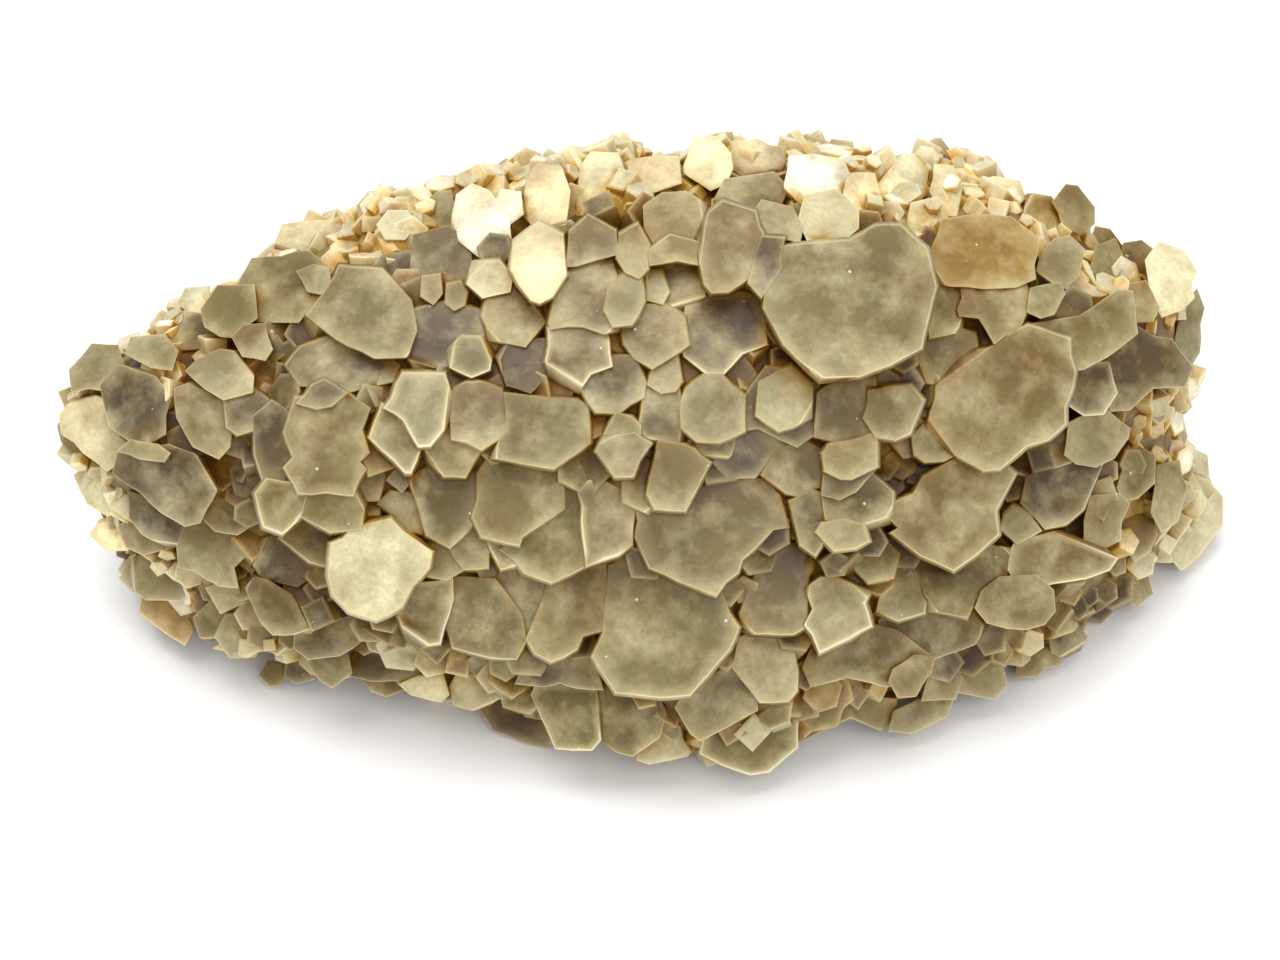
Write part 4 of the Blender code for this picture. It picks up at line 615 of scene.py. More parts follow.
@dataclass
class TabularCrystal:
    """One tabular crystal: a thin prism whose flat end faces the eye."""

    tint: Tint
    tone: float
    turn: float
    outline: Outline
    lean: float = 11.0
    lean_per_tone: float = 7.0
    follow: float = 0.5
    steepest: float = 0.7
    rise: float = 2.2
    step: float = 0.45
    largest_lift: float = 5.5
    root_depth: float = 3.0
    least_thickness: float = 3.5
    shoulder: float = 0.28
    widest_shoulder: float = 0.5
    bare_shoulder: float = -0.25
    rim: float = 0.11
    # How far in from the rim the painted glow of light fades out, in mm.
    glow_band: float = 1.4
    hairline: float = 1e-4
    facet_from: float = 2.2
    facet_widths: Corner = (0.4, 1.1)
    facet_slopes: Corner = (0.5, 1.1)
    # The milky and honey colours of the painted light across the flat end: milk where the light comes out, honey on
    # the far side and down the sides.
    milk: str = "B4A97E"
    honey: str = "7A5E1E"

    def __post_init__(self) -> None:
        """Set the flat end's slant from the mass behind it."""
        self.centre = middle(self.outline)
        u, v = self.centre
        reach = 3.0
        rise_right = self.held((MASS.ground(u + reach, v) - MASS.ground(u - reach, v)) / (2 * reach))
        rise_up = self.held((MASS.ground(u, v + reach) - MASS.ground(u, v - reach)) / (2 * reach))
        lean = math.radians(self.lean + self.lean_per_tone * self.tone)
        self.slope_u = self.follow * rise_right - math.tan(math.radians(self.turn))
        self.slope_v = self.follow * rise_up - math.tan(lean)
        self.depth = MASS.ground(u, v) + self.rise

    def held(self, slope: float) -> float:
        """A slope of the mass, kept to what a crystal can follow."""
        return max(-self.steepest, min(self.steepest, slope))

    def face(self, u: float, v: float) -> float:
        """The depth of the flat end where it is seen at (u, v)."""
        near = 1 - self.depth / SIGHT.eye_distance
        rise = self.slope_u * (u - self.centre[0] * near) + self.slope_v * (v - self.centre[1] * near)
        return (self.depth + rise) / (1 + (self.slope_u * u + self.slope_v * v) / SIGHT.eye_distance)

    def seat_on(self, placed: Sequence["TabularCrystal"]) -> None:
        """Lift the crystal until its flat end passes in front of every one that it laps over."""
        own = (*self.outline, self.centre)
        for other in placed:
            shared = [p for p in own if covers(other.outline, p)]
            shared += [p for p in other.outline if covers(self.outline, p)]
            lift = max((other.face(*p) + self.step - self.face(*p) for p in shared), default=0.0)
            self.depth += max(0.0, lift)
        self.depth = min(self.depth, MASS.ground(*self.centre) + self.rise + self.largest_lift)

    @property
    def thickness(self) -> float:
        """From the flat end at its middle down to a root inside the mass."""
        return max(self.least_thickness, self.depth - MASS.ground(*self.centre) + self.root_depth)

    def grown_edge(self, rng: random.Random) -> list[Corner]:
        """The outline as it grew: each side a little uneven, with a chip here and there.

        Args:
            rng: The source of chance.

        Returns:
            The corners of the uneven outline.
        """
        spacing, wander = 2.0, 0.05
        grown = []
        for n, (u1, v1) in enumerate(self.outline):
            u2, v2 = self.outline[(n + 1) % len(self.outline)]
            length = math.hypot(u2 - u1, v2 - v1)
            steps = max(1, round(length / spacing))
            for k in range(steps):
                share = k / steps
                chip = rng.uniform(0.2, 0.55) if k and rng.random() < 0.07 else 0.0
                off = rng.gauss(0, wander) if k else 0.0
                u, v = u1 + share * (u2 - u1), v1 + share * (v2 - v1)
                inward = Vector((self.centre[0] - u, self.centre[1] - v)).normalized() * (chip + off)
                grown.append((u + inward.x, v + inward.y))
        return grown

    def build(self, rng: random.Random) -> bpy.types.Object:
        """Model the crystal flat as a prism with a worn rim, then set it in its place.

        Args:
            rng: The source of chance.

        Returns:
            The crystal.
        """
        edge = self.grown_edge(rng)
        deep = self.thickness
        foot = min(0.6 * deep, self.rim + self.widest_shoulder / self.shoulder)
        bpy.ops.mesh.primitive_circle_add(vertices=len(edge), radius=1.0, fill_type="NGON")
        piece = bpy.context.object
        for vert, (u, v) in zip(piece.data.vertices, edge):
            vert.co = (u, v, -deep)
        piece.data.update()
        bpy.ops.object.mode_set(mode="EDIT")
        bpy.ops.mesh.select_all(action="SELECT")
        if piece.data.polygons[0].normal.z < 0:
            bpy.ops.mesh.flip_normals()
        bpy.ops.mesh.extrude_region_move(TRANSFORM_OT_translate={"value": (0, 0, deep - foot)})
        bpy.ops.mesh.extrude_region_move(TRANSFORM_OT_translate={"value": (0, 0, foot)})
        self.cut_facets(rng)
        select_edges(piece, lambda worn: min(v.co.z for v in worn.verts) > -foot * 0.9 and is_crease(worn))
        bpy.ops.mesh.bevel(offset=self.rim, segments=1, affect="EDGES", clamp_overlap=True)
        select_faces(piece, lambda face: face.normal.z > 0.999)
        # Two inset rings carry the painted glow of light as it fades in from the rim.
        left = 1.0
        for share in (0.24, 0.3):
            band = min(self.glow_band / self.inradius, share)
            bpy.ops.mesh.inset(thickness=self.hairline)
            bpy.ops.transform.resize(value=((left - band) / left, (left - band) / left, 1), center_override=(*self.centre, 0))
            left -= band
        bpy.ops.mesh.select_all(action="SELECT")
        bpy.ops.mesh.normals_make_consistent(inside=False)
        bpy.ops.object.mode_set(mode="OBJECT")
        self.dress(piece.data, rng)
        self.lay(piece.data)
        return piece

    @property
    def inradius(self) -> float:
        """How far the flat end's middle is from its nearest side."""
        hub = Vector(self.centre)
        sides = ((Vector(self.outline[n - 1]), Vector(self.outline[n])) for n in range(len(self.outline)))
        return min((hub - intersect_point_line(hub, a, b)[0].to_2d()).length for a, b in sides)

    def cut_facets(self, rng: random.Random) -> None:
        """Slice off the rim along a side or two, as the narrow sloping faces of a calcite prism."""
        if self.inradius < self.facet_from:
            return
        for _ in range(rng.choice((0, 1, 1, 2))):
            way, wide = rng.uniform(0, math.tau), rng.uniform(*self.facet_widths)
            out = Vector((math.cos(way), math.sin(way), 0))
            furthest = max(out.dot(Vector((*corner, 0))) for corner in self.outline)
            normal = (out + Vector((0, 0, rng.uniform(*self.facet_slopes)))).normalized()
            bpy.ops.mesh.select_all(action="SELECT")
            bpy.ops.mesh.bisect(
                plane_co=out * (furthest - wide), plane_no=normal, use_fill=True, clear_outer=True, threshold=1e-5
            )

    def tints(self, mesh: bpy.types.Mesh, rng: random.Random) -> list[np.ndarray]:
        """The crystal's colour at each point, with painted light and shade across the flat end: milkier towards
        where its light comes out, mostly the foot, and honey towards the far side; and warmer in its depths.
        """
        own = np.array(shaded(self.tint, self.tone, rng))
        milk, honey = np.array(linear(self.milk)), np.array(linear(self.honey))
        # Painted light: the milky side mostly points down, towards the foot.
        way = rng.gauss(-math.pi / 2, 0.9)
        drift = rng.uniform(0.15, 0.45)
        found = []
        for vert in mesh.vertices:
            along = (vert.co.x - self.centre[0]) * math.cos(way) + (vert.co.y - self.centre[1]) * math.sin(way)
            share = max(-1.0, min(1.0, along / max(self.inradius, 2.0))) * drift
            tint = own + share * (milk - own) if share > 0 else own - share * (honey - own)
            if vert.co.z < -1.5 * self.rim:
                tint = tint + 0.65 * (honey - tint)
            found.append(tint)
        return found

    def dress(self, mesh: bpy.types.Mesh, rng: random.Random) -> None:
        """Write the crystal's colour and its edge share, by which the material paints a pale glow of light along
        the rim, brightest at the foot.
        """
        top = [vert for vert in mesh.vertices if vert.co.z > -1e-4]
        rim = [vert.co.copy() for vert in mesh.vertices if -1.2 * self.rim < vert.co.z < -0.1 * self.rim]
        near = self.rim * 1.3
        edge = [0.0] * len(mesh.vertices)
        for vert in mesh.vertices:
            if vert.co.z > -1.2 * self.rim:
                edge[vert.index] = 0.88 + 0.12 * self.glow(vert.co)
        # Painted glow of light inside the rim, fading inwards over the glow band.
        for vert in top:
            inward = min(((vert.co - place).length for place in rim), default=9.0)
            if inward > near:
                inner_glow = 0.34 + 0.2 * self.glow(vert.co)
                edge[vert.index] = max(0.0, inner_glow * (1 - (inward - near) / self.glow_band))
        paint_growth(mesh, self.tints(mesh, rng), edge)

    def glow(self, place: Vector) -> float:
        """How much light comes out through the crystal's edge near a place: 1 at its foot and -1 at its head."""
        arm = Vector((place.x - self.centre[0], place.y - self.centre[1])).normalized()
        return max(-1.0, min(1.0, 0.3 * arm.x - arm.y))

    def lay(self, mesh: bpy.types.Mesh) -> None:
        """Move the flat prism to its place, with shoulders that widen towards the root."""
        at_rim = min(1.0, max(0.0, (MASS.reach(*self.centre) - 0.7) / 0.2))
        slope = self.shoulder + at_rim * (self.bare_shoulder - self.shoulder)
        for vert in mesh.vertices:
            u, v, down = vert.co
            arm = Vector((u - self.centre[0], v - self.centre[1]))
            out = min(self.widest_shoulder, slope * max(0.0, -down - self.rim))
            arm *= 1 + out / max(arm.length, 1.0)
            flat = self.face(u, v)
            u, v = self.centre[0] + arm.x, self.centre[1] + arm.y
            vert.co = SIGHT.point(u, v, flat + down) * MM


@dataclass
class RearBlock:
    """One blocky crystal of the sides that the photograph hides, half sunk in the mass."""

    spot: Vector
    outward: Vector
    sizes: Corner = (7.5, 11.0)
    sink: float = 0.5
    pale: bool = False

    def build(self, rng: random.Random, look: random.Random) -> bpy.types.Object:
        """Add a short prism, wear its edges and stand it on the mass.

        Args:
            rng: The source of chance for its shape, as in the solid model.
            look: The source of chance for its colour.

        Returns:
            The block.
        """
        size = rng.uniform(*self.sizes)
        sides, top, tall = rng.choice((4, 5, 6, 6)), rng.uniform(0.6, 0.9), rng.uniform(1.2, 1.7)
        spin, roll, pitch = rng.uniform(0, math.tau), rng.gauss(0, 0.4), rng.gauss(0, 0.4)
        bpy.ops.mesh.primitive_cone_add(
            vertices=sides, radius1=size, radius2=size * top, depth=size * tall, end_fill_type="NGON"
        )
        piece = bpy.context.object
        bpy.ops.object.mode_set(mode="EDIT")
        bpy.ops.mesh.select_all(action="SELECT")
        bpy.ops.mesh.bevel(offset=0.45, segments=2, profile=0.6, affect="EDGES")
        bpy.ops.object.mode_set(mode="OBJECT")
        turned = Matrix.Rotation(roll, 4, "X") @ Matrix.Rotation(pitch, 4, "Y") @ Matrix.Rotation(spin, 4, "Z")
        stand = self.outward.to_track_quat("Z", "Y").to_matrix().to_4x4()
        place = Matrix.Translation((self.spot - self.outward * size * self.sink) * MM)
        mixed = (Tint.TAN, Tint.TAN, Tint.CREAM, Tint.GREY, Tint.HONEY)
        # Blocks that face up along the crest are pale, partly their own pale colour and partly painted light on the
        # top.
        tint = look.choice((Tint.PALE, Tint.PALE, Tint.CREAM) if self.pale else mixed)
        count = len(piece.data.vertices)
        paint_growth(piece.data, [shaded(tint, look.uniform(-0.3, 0.5), look)] * count, [0.0] * count)
        piece.data.transform(place @ stand @ turned @ Matrix.Scale(MM, 4))
        return piece

    @classmethod
    def spread(cls, count: int = 76) -> list["RearBlock"]:
        """Places for the blocks, evenly over the hidden sides."""
        golden = math.pi * (3 - math.sqrt(5))
        inside = SIGHT.point(0, 0, -8)
        found = []
        for n in range(count):
            z = 0.22 - 1.2 * (n + 0.5) / count
            ring = math.sqrt(1 - z * z)
            direction = Vector((ring * math.cos(golden * n), ring * math.sin(golden * n), z))
            if z > -0.05 and direction.y < 0.4:
                continue
            spot = MASS.surface(direction)
            steps = (Vector((0.05, 0, 0.01)), Vector((0, 0.05, 0.01)), Vector((0.01, 0.01, 0.05)))
            near = [SIGHT.point(*bare_surface((direction + step).normalized())) for step in steps]
            outward = (near[1] - near[0]).cross(near[2] - near[0]).normalized()
            if outward.dot(spot - inside) < 0:
                outward.negate()
            # Pale for blocks that face up along the crest: partly painted light on the top.
            found.append(cls(spot, outward, pale=direction.y > 0.1 and outward.z > 0.2))
        return found


def bare_surface(direction: Vector) -> tuple[float, float, float]:
    """A unit direction on the mass as (u, v, depth), before the underside is drawn up."""
    across = math.hypot(direction.x, direction.y)
    radius, depth = MASS.rim_at(math.atan2(direction.y, direction.x))
    full = math.copysign(abs(direction.z) ** MASS.fullness, direction.z)
    if full > 0:
        bulge = MASS.front_bulge * full
    else:
        bulge = MASS.back_bulge * full - depth * across**2 * full * 0.4
    return radius * direction.x, radius * direction.y, depth * across**2 + bulge


class Zone(Enum):
    """Where fine crystals grow."""

    HOLLOW = "between the tabular crystals"
    # The crest faces up, and its fine crystals are paler, partly as painted light.
    CREST = "along the pale crest"
    RIND = "on the ends, the back and the underside"


@dataclass(frozen=True)
class Druse:
    """How the fine crystals of one zone look, in millimetres."""

    sizes: Corner
    rise: Corner
    tilt: float
    tints: tuple[Tint, ...]
    tones: Corner
    spacing: float
    # rim scales the painted glow of light along each crystal's edge.
    rim: float


# Recesses that stay open, with brown and olive crystals at the bottom, partly painted shade of the recess: their
# middle in (u, v) and their radius, in mm.
CAVES = (
    (-52.5, -2, 3.5), (-47, 9.5, 2.2), (-47, 0, 3.4), (-34, -4, 3.4), (-15, -19, 4.0), (-22.5, -12, 2.6),
    (5.5, 22, 3.4), (32.5, -1.3, 3.4), (58, -18.7, 3.4), (41, -26, 3.2), (-13.5, -27, 2.4), (14, 1, 4.6),
    (20, -2, 3.6), (16, 34.2, 2.4), (58, 8.2, 2.4), (48.5, -3.5, 3), (56, -9.5, 1.6), (-31, 11.6, 1.5),
    (-26.3, 18.3, 1.4), (-22, 18, 1.4), (35.7, 8.5, 1.2), (0, -12.5, 1.9),
)

DRUSES = {
    # Hollow crystals take olive and brown tints and low tones: partly their own colour, partly painted shade of the
    # hollows.
    Zone.HOLLOW: Druse(
        (2.0, 4.0), (-0.3, 1.5), 0.26,
        (Tint.OLIVE, Tint.HONEY, Tint.OLIVE, Tint.BROWN, Tint.HONEY, Tint.TAN), (-0.5, 0.1), 2.3, 0.6,
    ),
    # Crest crystals take pale tints and high tones: partly their own paler colour, partly painted light on the
    # upward-facing crest.
    Zone.CREST: Druse(
        (1.2, 2.9), (0.3, 1.5), 0.5,
        (Tint.PALE, Tint.CREAM, Tint.PALE, Tint.FROST, Tint.PALE, Tint.CREAM), (-0.1, 0.9), 1.9, 1.0,
    ),
    Zone.RIND: Druse(
        (1.6, 3.8), (0.3, 1.5), 0.5,
        (Tint.TAN, Tint.CREAM, Tint.GREY, Tint.FROST, Tint.HONEY), (-0.4, 0.5), 3.0, 0.95,
    ),
}


@dataclass
class FineCrystal:
    """One small prism: where it stands, which way it points and how big it is."""

    foot: Vector
    axis: Vector
    size: float
    rise: float
    tint: tuple[float, float, float]
    spin: float
    sides: int
    rim: float

    def fits(self, room: Sequence[Sequence[float]]) -> bool:
        """Whether the crystal stays inside a box, given by its lowest and highest corners in metres."""
        low, high = room
        end = self.foot + self.axis * self.rise
        for axis in range(3):
            half = self.size * math.sqrt(max(0.0, 1 - self.axis[axis] ** 2))
            if end[axis] + half > high[axis] / MM or (axis < 2 and end[axis] - half < low[axis] / MM):
                return False
        return True


@dataclass
class FineGrowth:
    """All the fine crystals that fill the hollows and cover the rough sides."""

    tabular: Sequence[TabularCrystal]
    tries: int = 16000
    neighbourhood: float = 4.0
    sunk: Corner = (1.6, 3.6)
    highest: float = 4.5
    root: float = 3.2
    least_upright: float = 0.8
    squarely: float = 0.4
    grains: Corner = (0.1, 0.9)
    deepest_cover: float = 3.2
    rough_spans: tuple[Corner, ...] = ((-62, -10), (-2, 5), (18, 30), (37, 49), (59, 75))

    def shapes(self) -> dict[int, tuple[np.ndarray, list[tuple[int, ...]], list[float]]]:
        """Model one small prism with a worn end for each number of sides.

        Returns:
            For each number of sides: points, faces, and 1 where a point is on an edge.
        """
        made = {}
        for sides in (4, 5, 6):
            bpy.ops.mesh.primitive_cone_add(
                vertices=sides, radius1=0.8, radius2=1.0, depth=2.4, location=(0, 0, -1.2), end_fill_type="NGON"
            )
            piece = bpy.context.object
            bpy.ops.object.transform_apply(location=True, rotation=True, scale=True)
            bpy.ops.object.mode_set(mode="EDIT")
            shape = bmesh.from_edit_mesh(piece.data)
            for face in shape.faces:
                face.select_set(face.normal.z > 0.9)
            bmesh.update_edit_mesh(piece.data)
            bpy.ops.mesh.bevel(offset=0.07, segments=1, affect="EDGES")
            select_faces(piece, lambda face: face.normal.z > 0.999)
            bpy.ops.mesh.inset(thickness=0.22)
            bpy.ops.object.mode_set(mode="OBJECT")
            points = np.array([vert.co[:] for vert in piece.data.vertices])
            faces = [tuple(face.vertices) for face in piece.data.polygons]
            # Edge shares for the painted glow of light along the rim of the worn end, and a little in its middle.
            edge = np.where(points[:, 2] > -0.5, 0.82, 0.0)
            edge[np.hypot(points[:, 0], points[:, 1]) < 0.8 * (points[:, 2] > -0.01)] = 0.15
            made[sides] = (points, faces, edge)
            bpy.data.objects.remove(piece)
        return made

    def zone_of(self, spot: Vector, outward: Vector) -> Zone | None:
        """Which fine crystals grow at a place on the mass, if any."""
        u, v, w = SIGHT.layout(spot)
        facing = outward.dot((SIGHT.eye() - spot).normalized())
        if facing < 0.12:
            return Zone.CREST if v > 12 and outward.z > 0.3 else Zone.RIND
        over = [c for c in self.tabular if covers(c.outline, (u, v)) and c.face(u, v) > w]
        if over:
            rough = any(low < u < high for low, high in self.rough_spans) and v > 12 and MASS.reach(u, v) > 0.8
            pale = all(c.tint in (Tint.CREAM, Tint.FROST, Tint.PALE) for c in over)
            thin = max(c.face(u, v) for c in over) - w < self.deepest_cover and facing > self.squarely
            return Zone.CREST if rough and pale and thin else None
        if MASS.reach(u, v) > 0.84 and (v > 3 or u < -58 or u > 62) or v > 30:
            return Zone.CREST
        return Zone.HOLLOW

    def grow(self, rng: random.Random, base: bpy.types.Object) -> list[FineCrystal]:
        """Scatter the fine crystals over the mass, none too close to another.

        Args:
            rng: The source of chance.
            base: The bare mass.

        Returns:
            The fine crystals.
        """
        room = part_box(NODE)
        mesh = base.data
        mesh.calc_loop_triangles()
        areas = np.array([tri.area for tri in mesh.loop_triangles])
        bounds = np.cumsum(areas) / areas.sum()
        cell = 4.0
        taken: dict[tuple[int, ...], list[tuple[Vector, float]]] = {}
        grown = []
        for _ in range(self.tries):
            tri = mesh.loop_triangles[int(np.searchsorted(bounds, rng.random()))]
            a, b = sorted((rng.random(), rng.random()))
            corners = [mesh.vertices[n].co for n in tri.vertices]
            spot = (corners[0] * a + corners[1] * (b - a) + corners[2] * (1 - b)) / MM
            outward = tri.normal.copy()
            zone = self.zone_of(spot, outward)
            if zone is None:
                continue
            druse = DRUSES[zone]
            key = tuple(int(c // cell) for c in spot)
            near = (
                other
                for dx in (-1, 0, 1) for dy in (-1, 0, 1) for dz in (-1, 0, 1)
                for other in taken.get((key[0] + dx, key[1] + dy, key[2] + dz), ())
            )
            if any((spot - place).length < druse.spacing for place, _ in near):
                continue
            taken.setdefault(key, []).append((spot, druse.spacing))
            crystal = self.crystal_at(spot, outward, zone, rng)
            if crystal.fits(room):
                grown.append(crystal)
        return grown

    def level(self, u: float, v: float) -> float | None:
        """The mean depth of the flat ends around a hollow at (u, v)."""
        close = [
            c.face(u, v) for c in self.tabular
            if math.hypot(c.centre[0] - u, c.centre[1] - v) < c.inradius + self.neighbourhood
        ]
        return sum(close) / len(close) if close else None

    def crystal_at(self, spot: Vector, outward: Vector, zone: Zone, rng: random.Random) -> FineCrystal:
        """Choose one fine crystal's size, direction and colour."""
        druse = DRUSES[zone]
        axis = outward.copy()
        rise = rng.uniform(*druse.rise)
        u, v, w = SIGHT.layout(spot)
        tints = druse.tints
        cave = any(math.hypot(u - cu, v - cv) < radius for cu, cv, radius in CAVES)
        if zone is Zone.HOLLOW:
            axis = (SIGHT.across[2] + SIGHT.across[1] * 0.25 + outward * 0.4).normalized()
            level = self.level(u, v)
            if MASS.reach(u, v) > 0.84:
                tints = DRUSES[Zone.RIND].tints
            # Painted shade in part: the crystals in a cave are brown and olive.
            if cave:
                tints = (Tint.BROWN, Tint.OLIVE)
            elif level is not None:
                rise = min(self.highest, max(rise, level - w - rng.uniform(*self.sunk)))
        elif zone is Zone.CREST and outward.dot(SIGHT.across[2]) > self.squarely:
            over = max((c.face(u, v) for c in self.tabular if covers(c.outline, (u, v))), default=w)
            if over > w:
                axis = (SIGHT.across[2] + outward * 0.6).normalized()
                rise = min(self.deepest_cover, over - w) + rng.uniform(*self.grains)
        upright = axis.copy()
        axis += Vector((rng.gauss(0, druse.tilt), rng.gauss(0, druse.tilt), rng.gauss(0, druse.tilt)))
        while axis.normalized().dot(upright) < self.least_upright:
            axis += upright * 0.25
        return FineCrystal(
            foot=spot,
            axis=axis.normalized(),
            size=rng.uniform(*druse.sizes) * rng.uniform(0.8, 1.0),
            rise=rise,
            tint=shaded(rng.choice(tints), rng.uniform(*druse.tones), rng),
            spin=rng.uniform(0, math.tau),
            sides=rng.choice((4, 5, 6, 6, 6)),
            rim=druse.rim,
        )

    def build(self, grown: Sequence[FineCrystal]) -> list[bpy.types.Object]:
        """Copy the small prisms to their places, in groups whose crystals don't touch each other.

        Args:
            grown: The fine crystals.

        Returns:
            One object for each group.
        """
        groups: list[list[FineCrystal]] = []
        for crystal in grown:
            for group in groups:
                if all((crystal.foot - o.foot).length > 1.45 * (crystal.size + o.size) + 2.2 for o in group):
                    group.append(crystal)
                    break
            else:
                groups.append([crystal])
        shapes = self.shapes()
        return [self.join_group(group, shapes, f"fine_{n}") for n, group in enumerate(groups)]

    def join_group(self, group: Sequence[FineCrystal], shapes: dict, name: str) -> bpy.types.Object:
        """Make one mesh of a group's crystals, each with its own copy of the prism."""
        points, faces, tints, edges = [], [], [], []
        for crystal in group:
            shape, sides, edge = shapes[crystal.sides]
            stand = crystal.axis.to_track_quat("Z", "Y").to_matrix() @ Matrix.Rotation(crystal.spin, 3, "Z")
            top = crystal.foot + crystal.axis * crystal.rise
            start = len(points)
            grown = Vector((crystal.size, crystal.size, (crystal.rise + self.root) / 2.4))
            points += [(stand @ (Vector(p) * grown) + top) * MM for p in shape]
            faces += [tuple(start + n for n in face) for face in sides]
            tints += [crystal.tint] * len(shape)
            edges += list(edge * crystal.rim)
        mesh = bpy.data.meshes.new(name)
        mesh.from_pydata(points, [], faces)
        paint_growth(mesh, tints, edges)
        piece = bpy.data.objects.new(name, mesh)
        bpy.context.scene.collection.objects.link(piece)
        return piece


def add_node(tree: bpy.types.NodeTree, kind: str, settings: dict | None = None, links: dict | None = None):
    """Add a shader node, set its values and link its inputs.

    Args:
        tree: The material's node tree.
        kind: The node's type.
        settings: Values for its properties, or for its inputs by name or number.
        links: For each of its inputs, the output that feeds it.

    Returns:
        The node.
    """
    node = tree.nodes.new(kind)
    for key, value in (settings or {}).items():
        if isinstance(key, str) and hasattr(node, key):
            setattr(node, key, value)
        else:
            node.inputs[key].default_value = value
    for key, source in (links or {}).items():
        tree.links.new(source, node.inputs[key])
    return node


